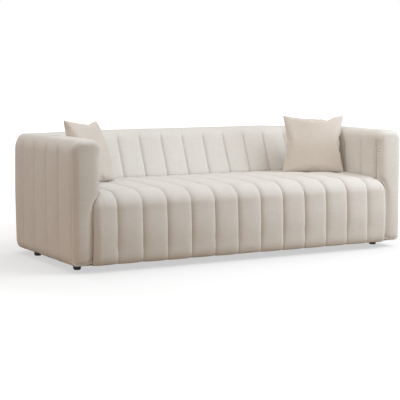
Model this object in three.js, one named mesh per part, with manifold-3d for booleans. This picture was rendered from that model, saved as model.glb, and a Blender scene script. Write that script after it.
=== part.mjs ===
// Channel-tufted tuxedo sofa with a tight bench seat and two loose pillows.
// Millimetres, +Z up. The origin is on the floor under the middle of the sofa, and the sofa faces -Y.

import * as THREE from "three";
import { mergeVertices } from "three/addons/utils/BufferGeometryUtils.js";
import Module from "manifold-3d";

const wasm = await Module();
wasm.setup();

// Overall sizes
const sofaWidth = 2180;
const sofaDepth = 980;
const sofaHeight = 720;
const undersideHeight = 38;

// Arms and back
const armThickness = 175;
const backTopThickness = 130;
const backSeatThickness = 240;
const outerCornerRadius = 100;
const innerCornerWidth = 240;
const topRoundRadius = 62;
const insideCoverBottom = 300;
const frontPanelDepth = 45;
const sideBulge = 4;
const frontPanelPuff = 16;
const bottomTuck = 36;
const bottomRound = 24;

// Seat
const seatTopHeight = 448;
const seatProud = 20;
const seatWing = 54;
const seatCrown = 8;
const waterfallHeight = 90;
const waterfallReach = 130;
const seatRearRound = 33;
const seatEndRound = 24;

// Sewn channels
const seatChannelWidth = 151;
const seatEndChannelWidth = 137;
const armChannelWidth = 180;
const backChannelWidth = 148.5;
const channelDepth = 14;

// Soft layers
const coverWall = 26;
const dustCoverThickness = 2;
const fit = 0.3;
const overrun = 60;

// Timber frame
const boardThickness = 22;
const seatRailTop = 280;
const armFrameWidth = 85;
const armFrameInset = 45;
const armRailHeight = 40;
const armPostDepth = 38;
const armTopRailThickness = 22;
const armFrameTopInset = 65;
const armFrameRearInset = 65;
const sidePanelThickness = 5;
const backFrameThickness = 40;
const backUprightWidth = 60;
const backUprights = 4;
const centerRailWidth = 50;
const sideCrossRailPlace = 480;
const cornerBlockLeg = 90;
const cornerBlockHeight = 60;

// Seat webbing
const strapWidth = 70;
const strapThickness = 2.5;
const straps = 6;
const strapFromArm = 174.7;

// Feet
const footTopRadius = 24;
const footBottomRadius = 20;
const footSideSetback = 88;
const footFrontSetback = 170;
const footRearSetback = 210;
const glideRadius = 18;
const glideThickness = 3;
const glideSpigotRadius = 6;
const glideSpigotLength = 6;
const boltRadius = 4;
const boltLength = 62;
const boltHeadRadius = 9;
const boltHeadThickness = 5;
const edgeBreak = 1;

// Pillows
const pillowSide = 372;
const pillowThickness = 118;
const pillowDrawIn = 15;
const pillowEdge = 4;
const pillowWall = 3;
const pillowSeam = 12;
const pillowSlit = 200;
const slitWidth = 1.5;
const leftPillowFromArm = 182;
const leftPillowFromBack = 316;
const rightPillowFromArm = 203;
const rightPillowFromBack = 300;

const halfWidth = sofaWidth / 2;
const frontY = -sofaDepth / 2;
const backY = sofaDepth / 2;
const armFrontY = frontY + seatProud;
const innerArmX = halfWidth - armThickness;
const wrapStartY = armFrontY + frontPanelDepth;
const seatHalfWidth = innerArmX - fit;
const seatFrontHalfWidth = innerArmX + seatWing;
const backFrontY = backY - backSeatThickness;
const armChannels = Math.floor((backFrontY - wrapStartY) / armChannelWidth);
const cornerStartY = wrapStartY + armChannels * armChannelWidth;
const straightBackChannels = 2 * Math.floor((innerArmX - innerCornerWidth) / backChannelWidth);
const straightHalf = (straightBackChannels / 2) * backChannelWidth;
const seatRearY = backFrontY - fit;
const dustCoverBottom = undersideHeight + fit;
const footTop = dustCoverBottom + dustCoverThickness;
const railBottom = footTop + fit;
const armFrameTop = sofaHeight - armFrameTopInset;

// Closed solids and their joins

function solidOf(geometry) {
  const bare = new THREE.BufferGeometry();
  bare.setAttribute("position", geometry.getAttribute("position"));
  if (geometry.index) bare.setIndex(geometry.index);
  const merged = mergeVertices(bare);
  return new wasm.Manifold(
    new wasm.Mesh({
      numProp: 3,
      vertProperties: merged.attributes.position.array,
      triVerts: new Uint32Array(merged.index.array),
    }),
  );
}

function geometryOf(solid) {
  const mesh = solid.getMesh();
  const geometry = new THREE.BufferGeometry();
  geometry.setAttribute("position", new THREE.BufferAttribute(new Float32Array(mesh.vertProperties), 3));
  geometry.setIndex(new THREE.BufferAttribute(new Uint32Array(mesh.triVerts), 1));
  return geometry;
}

function cut(geometry, ...tools) {
  let solid = solidOf(geometry);
  for (const tool of tools) solid = solid.subtract(solidOf(tool));
  return geometryOf(solid);
}

function join(...geometries) {
  let solid = solidOf(geometries[0]);
  for (const other of geometries.slice(1)) solid = solid.add(solidOf(other));
  return geometryOf(solid);
}

function block(low, high) {
  const size = high.map((value, axis) => value - low[axis]);
  const center = high.map((value, axis) => (value + low[axis]) / 2);
  return new THREE.BoxGeometry(...size).translate(...center);
}

function flipped(index) {
  const turned = [];
  for (let i = 0; i < index.length; i += 3) turned.push(index[i], index[i + 2], index[i + 1]);
  return turned;
}

function signedVolume(points, index) {
  let volume = 0;
  const corner = [new THREE.Vector3(), new THREE.Vector3(), new THREE.Vector3()];
  for (let i = 0; i < index.length; i += 3) {
    for (let k = 0; k < 3; k += 1) corner[k].fromArray(points[index[i + k]]);
    volume += corner[0].dot(corner[1].cross(corner[2]));
  }
  return volume;
}

// A closed body through rings of points, with a flat cap on its first and last ring.
// flat picks the two axes in which a cap's outline is read.
function loft(rings, flat) {
  const count = rings[0].length;
  const points = rings.flat();
  let index = [];
  for (let r = 0; r + 1 < rings.length; r += 1) {
    for (let i = 0; i < count; i += 1) {
      const a = r * count + i;
      const b = r * count + ((i + 1) % count);
      index.push(a, b, b + count, a, b + count, a + count);
    }
  }
  for (const [ring, start, turned] of [
    [rings[0], 0, true],
    [rings[rings.length - 1], (rings.length - 1) * count, false],
  ]) {
    const outline = ring.map((point) => new THREE.Vector2(point[flat[0]], point[flat[1]]));
    const clockwise = THREE.ShapeUtils.isClockWise(outline);
    const faces = THREE.ShapeUtils.triangulateShape(clockwise ? outline.toReversed() : outline, []);
    const number = (i) => start + (clockwise ? count - 1 - i : i);
    let cap = faces.flat().map(number);
    if (clockwise) cap = flipped(cap);
    index.push(...(turned ? flipped(cap) : cap));
  }
  if (signedVolume(points, index) < 0) index = flipped(index);
  const geometry = new THREE.BufferGeometry();
  geometry.setAttribute("position", new THREE.Float32BufferAttribute(points.flat(), 3));
  geometry.setIndex(index);
  return geometry;
}

// The sewn channel: 1 at a seam and 0 on the crown between two seams.
const recessOf = (share) => (2 * (share % 1) - 1) ** 2;

// Arms and back, one upholstered wall that runs round the seat.
// A station is one upright section of that wall. outer and inner give a point on each face at a height,
// and the way into the wall from there.

function backThicknessAt(height) {
  const share = THREE.MathUtils.clamp((height - seatTopHeight) / (sofaHeight - seatTopHeight), 0, 1);
  return THREE.MathUtils.lerp(backSeatThickness, backTopThickness, share);
}

function armStation(side, y, share) {
  const outer = () => ({ at: [side * halfWidth, y], into: [-side, 0] });
  const inner = () => ({ at: [side * innerArmX, y], into: [side, 0] });
  return { outer, inner, outerShare: share, innerShare: share };
}

function backStation(x, share) {
  const outer = () => ({ at: [x, backY], into: [0, -1] });
  const inner = (height) => ({ at: [x, backY - backThicknessAt(height)], into: [0, 1] });
  return { outer, inner, outerShare: share, innerShare: share };
}

// The outer face of a corner: along the arm, round the quarter turn, then along the back.
const cornerAlongArm = backY - outerCornerRadius - cornerStartY;
const cornerTurn = (outerCornerRadius * Math.PI) / 2;
const cornerAlongBack = halfWidth - outerCornerRadius - straightHalf;
const cornerSeams = [
  0,
  armChannelWidth,
  cornerAlongArm + cornerTurn / 2,
  cornerAlongArm + cornerTurn + cornerAlongBack - 2 * backChannelWidth,
  cornerAlongArm + cornerTurn + cornerAlongBack - backChannelWidth,
  cornerAlongArm + cornerTurn + cornerAlongBack,
];
const outerCornerChannels = cornerSeams.length - 1;
const innerCornerChannels = 3;
const cornerSteps = outerCornerChannels * innerCornerChannels;

function outerCorner(side, way) {
  if (way <= cornerAlongArm) return { at: [side * halfWidth, cornerStartY + way], into: [-side, 0] };
  if (way >= cornerAlongArm + cornerTurn) {
    const x = halfWidth - outerCornerRadius - (way - cornerAlongArm - cornerTurn);
    return { at: [side * x, backY], into: [0, -1] };
  }
  const angle = (way - cornerAlongArm) / outerCornerRadius;
  const out = [side * Math.cos(angle), Math.sin(angle)];
  const x = side * (halfWidth - outerCornerRadius) + outerCornerRadius * out[0];
  const y = backY - outerCornerRadius + outerCornerRadius * out[1];
  return { at: [x, y], into: [-out[0], -out[1]] };
}

// The inner face of a corner: an elliptic quarter, then a short straight to the first back seam.
function innerCorner(side, share, height) {
  const reach = backY - backThicknessAt(height) - cornerStartY;
  const straight = innerArmX - innerCornerWidth - straightHalf;
  const turnShare = innerCornerWidth / (innerCornerWidth + straight);
  if (share >= turnShare) {
    const x = straightHalf + (straight * (1 - share)) / (1 - turnShare);
    return { at: [side * x, cornerStartY + reach], into: [0, 1] };
  }
  const angle = ((share / turnShare) * Math.PI) / 2;
  const x = innerArmX - innerCornerWidth + innerCornerWidth * Math.cos(angle);
  const y = cornerStartY + reach * Math.sin(angle);
  const out = new THREE.Vector2(Math.cos(angle) / innerCornerWidth, Math.sin(angle) / reach).normalize();
  return { at: [side * x, y], into: [side * out.x, out.y] };
}

function cornerStation(side, step) {
  const seam = Math.floor(step / innerCornerChannels);
  const within = step / innerCornerChannels - seam;
  const next = Math.min(seam + 1, outerCornerChannels);
  const way = THREE.MathUtils.lerp(cornerSeams[seam], cornerSeams[next], within);
  const outer = () => outerCorner(side, way);
  const inner = (height) => innerCorner(side, step / cornerSteps, height);
  return { outer, inner, outerShare: within, innerShare: step / outerCornerChannels };
}

// A wall section is a list of [face, inset into the wall, height, share of the channel's depth].
const sewnSection = [
  ["outer", bottomTuck, undersideHeight, 0],
  ["outer", bottomTuck / 3, undersideHeight + bottomRound / 6, 0.3],
  ["outer", sideBulge, undersideHeight + bottomRound, 1],
  ["outer", 0, (undersideHeight + sofaHeight) / 2, 1],
  ["outer", sideBulge, sofaHeight - topRoundRadius, 0.6],
  ...roundOver("outer", [0.15, 0, 0]),
  ["top", 0, sofaHeight, 0],
  ...roundOver("inner", [0.8, 0.4, 0.1]).toReversed(),
  ["inner", sideBulge, sofaHeight - topRoundRadius, 1],
  ["inner", 0, seatTopHeight, 1],
  ["inner", 0, insideCoverBottom, 1],
  ["inner", coverWall + sideBulge, insideCoverBottom, 0],
  ["inner", coverWall + sideBulge, undersideHeight, 0],
];

function roundOver(face, depthShares) {
  const turn = Math.PI / 2 / depthShares.length;
  return depthShares.map((share, i) => {
    const angle = (i + 1) * turn;
    const inset = topRoundRadius - (topRoundRadius - sideBulge) * Math.cos(angle);
    const height = sofaHeight - topRoundRadius + (topRoundRadius - sideBulge / 2) * Math.sin(angle);
    return [face, inset, height, share];
  });
}

function hollowSection(ease, bottom) {
  const wall = coverWall + ease;
  const top = sofaHeight - wall;
  return [
    ["outer", wall, bottom, 0],
    ["outer", wall, sofaHeight - topRoundRadius, 0],
    ["outer", topRoundRadius, top, 0],
    ["inner", topRoundRadius, top, 0],
    ["inner", wall, sofaHeight - topRoundRadius, 0],
    ["inner", wall, seatTopHeight, 0],
    ["inner", wall, bottom, 0],
  ];
}

function pointAt(station, face, inset, height, depth) {
  const outerRecess = depth * recessOf(station.outerShare);
  const innerRecess = depth * recessOf(station.innerShare);
  if (face === "top") {
    const a = pointAt(station, "outer", topRoundRadius, height, 0);
    const b = pointAt(station, "inner", topRoundRadius, height, 0);
    return [(a[0] + b[0]) / 2, (a[1] + b[1]) / 2, height];
  }
  const recess = inset + (face === "outer" ? outerRecess : innerRecess);
  const { at, into } = face === "outer" ? station.outer() : station.inner(height);
  return [at[0] + into[0] * recess, at[1] + into[1] * recess, height];
}

function wall(stations, section, flat = [0, 2]) {
  const rings = stations.map((station) =>
    section.map(([face, inset, z, share]) => pointAt(station, face, inset, z, share * channelDepth)),
  );
  return loft(rings, flat);
}

const stepsPerChannel = 4;

function armStations(side, start, end) {
  const steps = armChannels * stepsPerChannel;
  return Array.from({ length: steps + 1 }, (_, i) => {
    const y = THREE.MathUtils.lerp(start, end, i / steps);
    return armStation(side, y, i / stepsPerChannel);
  });
}

function backStations(straightSteps) {
  const corner = Array.from({ length: cornerSteps }, (_, i) => i);
  const left = corner.map((step) => cornerStation(-1, step));
  const right = corner.map((step) => cornerStation(1, step)).toReversed();
  left[0] = armStation(-1, cornerStartY + fit, 0);
  right[right.length - 1] = armStation(1, cornerStartY + fit, 0);
  const straight = Array.from({ length: straightSteps + 1 }, (_, i) => {
    const x = THREE.MathUtils.lerp(-straightHalf, straightHalf, i / straightSteps);
    return backStation(x, (i * straightBackChannels) / straightSteps);
  });
  return [...left, ...straight, ...right];
}

const plainArm = (side, start, end) => [armStation(side, start, 0), armStation(side, end, 0)];

// Seat: a bench that rolls over the front rail and reaches down to the bottom edge.
// A seat section is a list of [depth from the front, height, half width, share of the channel's depth].

const seatInnerFront = frontPanelDepth + seatProud - 2 * fit;
const seatDepth = seatRearY - frontY;

// Shares of the seat's depth, of its crown and of a channel's depth at three places along the top
const deckShares = [
  [0.32, 0.33, 0.8],
  [0.56, 0, 0.6],
  [0.8, 0.33, 0.5],
];

function seatSection(inset) {
  const front = inset;
  const springing = seatTopHeight - seatCrown - waterfallHeight;
  const across = waterfallReach - inset;
  const rise = waterfallHeight - inset;
  const wide = seatFrontHalfWidth - inset;
  const narrow = seatHalfWidth - inset;
  const turnShares = [0.2, 0.42, 0.64, 0.82, 1];
  const waterfall = turnShares.map((share) => {
    const angle = (share * Math.PI) / 2;
    const narrowing = THREE.MathUtils.clamp((share - turnShares[0]) / (turnShares[2] - turnShares[0]), 0, 1);
    const half = THREE.MathUtils.lerp(wide, narrow, narrowing);
    return [waterfallReach - across * Math.cos(angle), springing + rise * Math.sin(angle), half, 1];
  });
  const top = seatTopHeight - inset;
  const rear = seatDepth - inset;
  return {
    front: [
      [front + sideBulge / 2, undersideHeight + 2 * bottomRound, wide, 1],
      [front, springing / 2, wide, 1],
      [front + sideBulge / 2, springing, wide, 1],
    ],
    waterfall,
    top: [
      ...deckShares.map(([along, fall, share]) => [seatDepth * along, top - seatCrown * fall, narrow, share]),
      [rear - seatRearRound / 2, top - seatCrown, narrow, 0.4],
      [rear, top - seatRearRound, narrow, 0.2],
    ],
  };
}

function seatRing(section, x, recess) {
  return section.map(([depth, height, half, share], i) => {
    const before = section[(i + section.length - 1) % section.length];
    const after = section[(i + 1) % section.length];
    const along = new THREE.Vector2(after[0] - before[0], after[1] - before[1]).normalize();
    const into = recess * share;
    return [x(half), frontY + depth + along.y * into, height - along.x * into];
  });
}

// The bench itself, between the arms
function deckSection(inset, skirtBack, skirtBottom, deckBottom, hem) {
  const { front, waterfall, top } = seatSection(inset);
  const half = seatHalfWidth - inset;
  const section = [
    ...hem,
    ...front,
    ...waterfall,
    ...top,
    [seatDepth - inset, deckBottom, half, 0],
    [skirtBack, deckBottom, half, 0],
    [skirtBack, skirtBottom, half, 0],
  ];
  return section.map(([depth, height, , share]) => [depth, height, half, share]);
}

// A wing of the front border laps over the front of an arm, and its upper corner rounds off outwards.
// lap is the share of the wing's width that lies inside the section.
function wingSection(inset, skirtBack, skirtBottom, hem, lap) {
  const { front, waterfall } = seatSection(inset);
  const springing = front[front.length - 1][1];
  const left = 1 - wingDropShare * (1 - Math.sqrt(1 - lap * lap));
  const lapped = waterfall.slice(0, 2).map(([depth, height, half, share]) => [
    depth,
    springing + (height - springing) * left,
    half,
    share,
  ]);
  const last = lapped[lapped.length - 1];
  const skirt = [last[1], skirtBottom].map((height) => [skirtBack, height, last[2], 0]);
  return [...hem, ...front, ...lapped, ...skirt];
}

const lastSeam = seatFrontHalfWidth - seatEndChannelWidth;
const middleSeatChannels = Math.round((2 * lastSeam) / seatChannelWidth);
const endShares = [1, 0.97, 0.9, 0.75, 0.5, 0.25];
const endRecessShares = [1, 0.55, 0.24, 0.06, 0, 0.15];
const wingDropShare = 0.8;

const wingRing = (section, x, recess) =>
  section.map(([depth, height, , share]) => [x, frontY + depth + recess * share, height]);

function wingLoft(side, inset, skirtBack, skirtBottom, hem, depth) {
  const half = seatFrontHalfWidth - inset;
  const rings = endShares.map((share, i) => {
    const x = THREE.MathUtils.lerp(lastSeam, half, share);
    const lap = THREE.MathUtils.clamp((x - seatHalfWidth + inset) / (seatWing + fit), 0, 1);
    const section = wingSection(inset, skirtBack, skirtBottom, hem, lap);
    return wingRing(section, side * x, endRecessShares[i] * depth * seatEndRound);
  });
  const root = wingSection(inset, skirtBack, skirtBottom, hem, 0);
  rings.push(wingRing(root, side * lastSeam, depth * channelDepth));
  return loft(rings, [1, 2]);
}

const seatHem = [
  [bottomRound, undersideHeight, seatFrontHalfWidth, 0],
  [bottomRound / 4, undersideHeight + bottomRound / 3, seatFrontHalfWidth, 0.4],
];

function sewnSeat() {
  const deck = deckSection(0, seatInnerFront, undersideHeight, insideCoverBottom, seatHem);
  const end = (side) =>
    endShares.map((share, i) => {
      const x = (half) => side * THREE.MathUtils.lerp(lastSeam, half, share);
      return seatRing(deck, x, endRecessShares[i] * seatEndRound);
    });
  const steps = middleSeatChannels * stepsPerChannel;
  const middle = Array.from({ length: steps + 1 }, (_, i) => {
    const x = THREE.MathUtils.lerp(-lastSeam, lastSeam, i / steps);
    return seatRing(deck, () => x, channelDepth * recessOf(i / stepsPerChannel));
  });
  const bench = loft([...end(-1), ...middle, ...end(1).toReversed()], [1, 2]);
  const wings = [-1, 1].map((side) => wingLoft(side, 0, seatInnerFront, undersideHeight, seatHem, 1));
  return join(bench, ...wings);
}

// The plain body of the seat, inset from its outline: it hollows the cover and shapes the foam.
function plainSeat(inset, skirtBack, skirtBottom, deckBottom) {
  const hem = [[inset + sideBulge / 2, skirtBottom, seatFrontHalfWidth - inset, 0]];
  const deck = deckSection(inset, skirtBack, skirtBottom, deckBottom, hem);
  return loft([seatRing(deck, (half) => -half, 0), seatRing(deck, (half) => half, 0)], [1, 2]);
}

// Plain wings: they hollow the cover and, with a negative inset, cut their room out of the arms' fronts.
function plainWings(inset, skirtBack, skirtBottom) {
  const hem = [[inset + sideBulge / 2, skirtBottom, seatFrontHalfWidth - inset, 0]];
  return [-1, 1].map((side) => wingLoft(side, inset, skirtBack, skirtBottom, hem, 0));
}

// The room that the back and its rounded corners take behind the seat
const backRoom = () => wall(backStations(1), hollowSection(-coverWall - fit, -overrun));

function seatCover() {
  const skirtBack = seatInnerFront + overrun;
  const hollow = plainSeat(coverWall, skirtBack, -overrun, insideCoverBottom - overrun);
  return cut(sewnSeat(), hollow, ...plainWings(coverWall, skirtBack, -overrun), backRoom());
}

const strapTop = seatRailTop + fit + strapThickness;

function seatFoam() {
  const inset = coverWall + fit;
  const foam = plainSeat(inset, seatInnerFront, undersideHeight, insideCoverBottom - overrun);
  const below = block([-sofaWidth, frontY - overrun, -overrun], [sofaWidth, backY, strapTop + fit]);
  return cut(foam, below, backRoom());
}

function frontPad() {
  const half = seatFrontHalfWidth - coverWall - fit;
  const y = [frontY + coverWall + 2 * fit + sideBulge / 2, frontY + seatInnerFront];
  return block([-half, y[0], undersideHeight + bottomRound / 3], [half, y[1], strapTop]);
}

// Front panel of an arm: a puffed pad whose edges roll back to the side seam.
const panelCornerSteps = 4;

function panelOutline(inset) {
  const low = undersideHeight + inset;
  const high = sofaHeight - inset;
  const left = innerArmX + inset;
  const right = halfWidth - inset;
  const points = [];
  const corner = (x, z, sideX, sideZ, radius, start) => {
    const r = Math.max(radius - inset, fit);
    for (let i = 0; i <= panelCornerSteps; i += 1) {
      const angle = start + (i / panelCornerSteps) * (Math.PI / 2);
      points.push([x + sideX * r + r * Math.cos(angle), z + sideZ * r + r * Math.sin(angle)]);
    }
  };
  corner(right, low, -1, 1, bottomRound, -Math.PI / 2);
  points.push([right, (low + high) / 2]);
  corner(right, high, -1, -1, topRoundRadius, 0);
  corner(left, high, 1, -1, topRoundRadius, Math.PI / 2);
  points.push([left, (low + high) / 2]);
  corner(left, low, 1, 1, bottomRound, Math.PI);
  return points;
}

function armFrontPanel(side) {
  const backFace = frontPanelDepth - fit;
  const puffShares = [
    [1, 0.35],
    [0.72, 0],
    [0.38, 0.3],
    [0.14, 1],
    [0.03, 2.1],
    [0, 3.4],
  ];
  const rings = puffShares.map(([depthShare, insetShare]) =>
    panelOutline(insetShare * frontPanelPuff).map(([x, z]) => {
      return [side * x, armFrontY + depthShare * backFace, z];
    }),
  );
  return cut(loft(rings, [0, 2]), ...plainWings(-fit, seatInnerFront + fit, -overrun));
}

// Timber frame

const armFrameOuterX = halfWidth - armFrameInset;
const armFrameInnerX = armFrameOuterX - armFrameWidth;
const armFrameFrontY = wrapStartY;
const armFrameRearY = backY - armFrameRearInset;
const backFrameRearY = backY - coverWall - sidePanelThickness - 2 * fit;
const backFrameFrontY = backFrameRearY - backFrameThickness;
const rearRailFrontY = backFrameFrontY - fit - boardThickness;
const frontRailFrontY = frontY + seatInnerFront + fit;
const railHalfLength = armFrameInnerX - fit;
const sidePanelX = armFrameOuterX + fit;

function mirrored(side, low, high) {
  if (side > 0) return block(low, high);
  return block([-high[0], low[1], low[2]], [-low[0], high[1], high[2]]);
}

function armTimber(side) {
  const x = [armFrameInnerX, armFrameOuterX];
  const y = [armFrameFrontY + fit, armFrameRearY];
  const railTop = railBottom + armRailHeight;
  const topRailBottom = armFrameTop - armTopRailThickness;
  const piece = (y0, y1, z0, z1) => mirrored(side, [x[0], y0, z0], [x[1], y1, z1]);
  return {
    bottom_rail: piece(y[0], y[1], railBottom, railTop),
    front_post: piece(y[0], y[0] + armPostDepth, railTop + fit, topRailBottom - fit),
    rear_post: piece(y[1] - armPostDepth, y[1], railTop + fit, topRailBottom - fit),
    top_rail: piece(y[0], y[1], topRailBottom, armFrameTop),
    side_panel: mirrored(
      side,
      [sidePanelX, y[0], railBottom],
      [sidePanelX + sidePanelThickness, y[1], armFrameTop],
    ),
  };
}

// The room that the arm and back frames take inside the foam
function frameRoom() {
  const arm = [-1, 1].map((side) =>
    mirrored(
      side,
      [armFrameInnerX - fit, armFrontY - overrun, -overrun],
      [sidePanelX + sidePanelThickness + fit, armFrameRearY + fit, armFrameTop + fit],
    ),
  );
  const back = block(
    [-armFrameInnerX, backFrameFrontY - fit, -overrun],
    [armFrameInnerX, backY, armFrameTop + fit],
  );
  return [...arm, back];
}

function armCover(side) {
  const outside = wall(armStations(side, wrapStartY, cornerStartY), sewnSection);
  const through = plainArm(side, wrapStartY - overrun, cornerStartY + overrun);
  const hollow = wall(through, hollowSection(0, -overrun));
  return cut(outside, hollow);
}

function armFoam(side) {
  const body = wall(plainArm(side, wrapStartY, cornerStartY), hollowSection(fit, insideCoverBottom));
  return cut(body, ...frameRoom());
}

function backCover() {
  const outside = wall(backStations(straightBackChannels * stepsPerChannel), sewnSection);
  const hollow = wall(backStations(1), hollowSection(0, -overrun));
  const mouthEnd = cornerStartY + 2 * fit;
  const mouth = (side) => wall(plainArm(side, wrapStartY, mouthEnd), hollowSection(0, -overrun));
  return cut(outside, join(hollow, mouth(-1), mouth(1)));
}

function backFoam() {
  const body = wall(backStations(1), hollowSection(fit, insideCoverBottom));
  return cut(body, ...frameRoom());
}

// The dust cover follows the outline of the covers from the inside.
function dustCover() {
  const inset = coverWall + fit;
  const edge = backStations(1).map((station) => pointAt(station, "outer", inset, undersideHeight, 0));
  const front = [halfWidth - inset, wrapStartY];
  const corners = [[-front[0], front[1]], ...edge, front];
  const outline = new THREE.Shape(corners.map(([x, y]) => new THREE.Vector2(x, y)));
  const sheet = new THREE.ExtrudeGeometry(outline, { depth: dustCoverThickness, bevelEnabled: false });
  sheet.translate(0, 0, dustCoverBottom);
  const holes = footPlaces.map(({ x, y }) => {
    const hole = new THREE.CylinderGeometry(footTopRadius + fit, footTopRadius + fit, overrun, footSides);
    return hole.rotateX(Math.PI / 2).translate(x, y, undersideHeight);
  });
  return cut(sheet, ...holes);
}

// Feet

const footSides = 16;
const boltSides = 10;
const footPlaceX = halfWidth - footSideSetback;
const footFrontY = armFrontY + footFrontSetback;
const footRearY = backY - footRearSetback;
const footPlaces = [
  { name: "front_left", x: -footPlaceX, y: footFrontY },
  { name: "front_right", x: footPlaceX, y: footFrontY },
  { name: "rear_left", x: -footPlaceX, y: footRearY },
  { name: "rear_right", x: footPlaceX, y: footRearY },
  { name: "center", x: 0, y: 0 },
];
const boltBottom = glideThickness + glideSpigotLength + 2 * fit;

function turned(profile, sides) {
  const points = profile.map(([radius, height]) => new THREE.Vector2(radius, height));
  return new THREE.LatheGeometry(points, sides).rotateX(Math.PI / 2);
}

function foot() {
  const bottom = glideThickness + fit;
  const headRoom = boltBottom + boltHeadThickness + fit;
  return turned(
    [
      [boltRadius + fit, footTop],
      [boltRadius + fit, headRoom],
      [boltHeadRadius + fit, headRoom],
      [boltHeadRadius + fit, bottom],
      [footBottomRadius, bottom],
      [footBottomRadius + edgeBreak, bottom + edgeBreak],
      [footTopRadius, footTop],
      [boltRadius + fit, footTop],
    ],
    footSides,
  );
}

function glide() {
  return turned(
    [
      [0, 0],
      [glideRadius - edgeBreak, 0],
      [glideRadius, edgeBreak],
      [glideRadius, glideThickness],
      [glideSpigotRadius, glideThickness],
      [glideSpigotRadius, glideThickness + glideSpigotLength],
      [0, glideThickness + glideSpigotLength],
    ],
    footSides,
  );
}

function bolt() {
  return turned(
    [
      [0, boltBottom],
      [boltHeadRadius, boltBottom],
      [boltHeadRadius, boltBottom + boltHeadThickness],
      [boltRadius, boltBottom + boltHeadThickness],
      [boltRadius, boltBottom + boltLength - boltRadius],
      [0, boltBottom + boltLength],
    ],
    boltSides,
  );
}

function boltHole(place) {
  const radius = boltRadius + fit;
  const hole = new THREE.CylinderGeometry(radius, radius, boltLength + 2 * fit, boltSides);
  return hole.rotateX(Math.PI / 2).translate(place.x, place.y, boltBottom + boltLength / 2);
}

// Pillows: square, crowned, with sides that pull in between four soft points.

const pillowCells = 12;
const insertCells = 8;
const crownPower = 0.42;

function pillowBody(side, thickness, edge, cells) {
  const half = side / 2;
  const point = (u, v, face) => {
    const pullX = 1 - (pillowDrawIn / half) * (1 - v * v);
    const pullZ = 1 - (pillowDrawIn / half) * (1 - u * u);
    const crown = (Math.max(0, 1 - u * u) * Math.max(0, 1 - v * v)) ** crownPower;
    const reach = THREE.MathUtils.lerp(edge, thickness, crown) / 2;
    return [half * u * pullX, face * reach, half * (1 + v * pullZ)];
  };
  const points = [];
  const index = [];
  const rowLength = cells + 1;
  const number = (i, j, face) => (face < 0 ? 0 : rowLength * rowLength) + i * rowLength + j;
  for (const face of [-1, 1]) {
    for (let i = 0; i <= cells; i += 1) {
      for (let j = 0; j <= cells; j += 1) {
        const across = Math.sin((i / cells - 1 / 2) * Math.PI);
        const up = Math.sin((j / cells - 1 / 2) * Math.PI);
        points.push(point(across, up, face));
      }
    }
    for (let i = 0; i < cells; i += 1) {
      for (let j = 0; j < cells; j += 1) {
        const low = [number(i, j, face), number(i + 1, j, face)];
        const high = [number(i, j + 1, face), number(i + 1, j + 1, face)];
        const faces = [low[0], low[1], high[1], low[0], high[1], high[0]];
        index.push(...(face < 0 ? faces : flipped(faces)));
      }
    }
  }
  for (let k = 0; k < cells; k += 1) {
    for (const [[i0, j0], [i1, j1]] of [
      [[k, 0], [k + 1, 0]],
      [[cells, k], [cells, k + 1]],
      [[k + 1, cells], [k, cells]],
      [[0, k + 1], [0, k]],
    ]) {
      const front = [number(i0, j0, -1), number(i1, j1, -1)];
      const rear = [number(i0, j0, 1), number(i1, j1, 1)];
      index.push(front[1], front[0], rear[0], front[1], rear[0], rear[1]);
    }
  }
  const geometry = new THREE.BufferGeometry();
  geometry.setAttribute("position", new THREE.Float32BufferAttribute(points.flat(), 3));
  geometry.setIndex(index);
  return geometry;
}

function pillowParts() {
  const innerSide = pillowSide - 2 * pillowSeam;
  const innerThickness = pillowThickness - 2 * pillowWall;
  const hollow = pillowBody(innerSide, innerThickness, pillowEdge, insertCells).translate(0, 0, pillowSeam);
  const slit = block([-pillowSlit / 2, -slitWidth / 2, -overrun], [pillowSlit / 2, slitWidth / 2, overrun]);
  const cover = cut(pillowBody(pillowSide, pillowThickness, pillowEdge, pillowCells), hollow, slit);
  const ease = 2 * fit;
  const insert = pillowBody(innerSide - 2 * ease, innerThickness - ease, pillowEdge - ease, insertCells);
  insert.translate(0, 0, pillowSeam + ease);
  return { cover, insert };
}

// A pillow is turned towards the middle of the sofa and leans back. Turns and leans are in radians.
const pillowPlaces = {
  left: { side: -1, fromArm: leftPillowFromArm, fromBack: leftPillowFromBack, turn: 0.68, lean: 0.33 },
  right: { side: 1, fromArm: rightPillowFromArm, fromBack: rightPillowFromBack, turn: -0.56, lean: 0.32 },
};

// A pillow comes down until one of its two lower rear corners is on the seat.
function setDown(standing, leaning, seat) {
  standing.updateMatrixWorld(true);
  const lifts = [-1, 1].map((end) => {
    const corner = leaning.localToWorld(new THREE.Vector3((end * pillowSide) / 2, pillowEdge / 2, 0));
    const above = new THREE.Vector3(corner.x, corner.y, sofaHeight);
    const ray = new THREE.Raycaster(above, new THREE.Vector3(0, 0, -1));
    return ray.intersectObject(seat)[0].point.z - corner.z;
  });
  standing.position.z = Math.max(...lifts) + fit;
}

// The finished sofa

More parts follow.
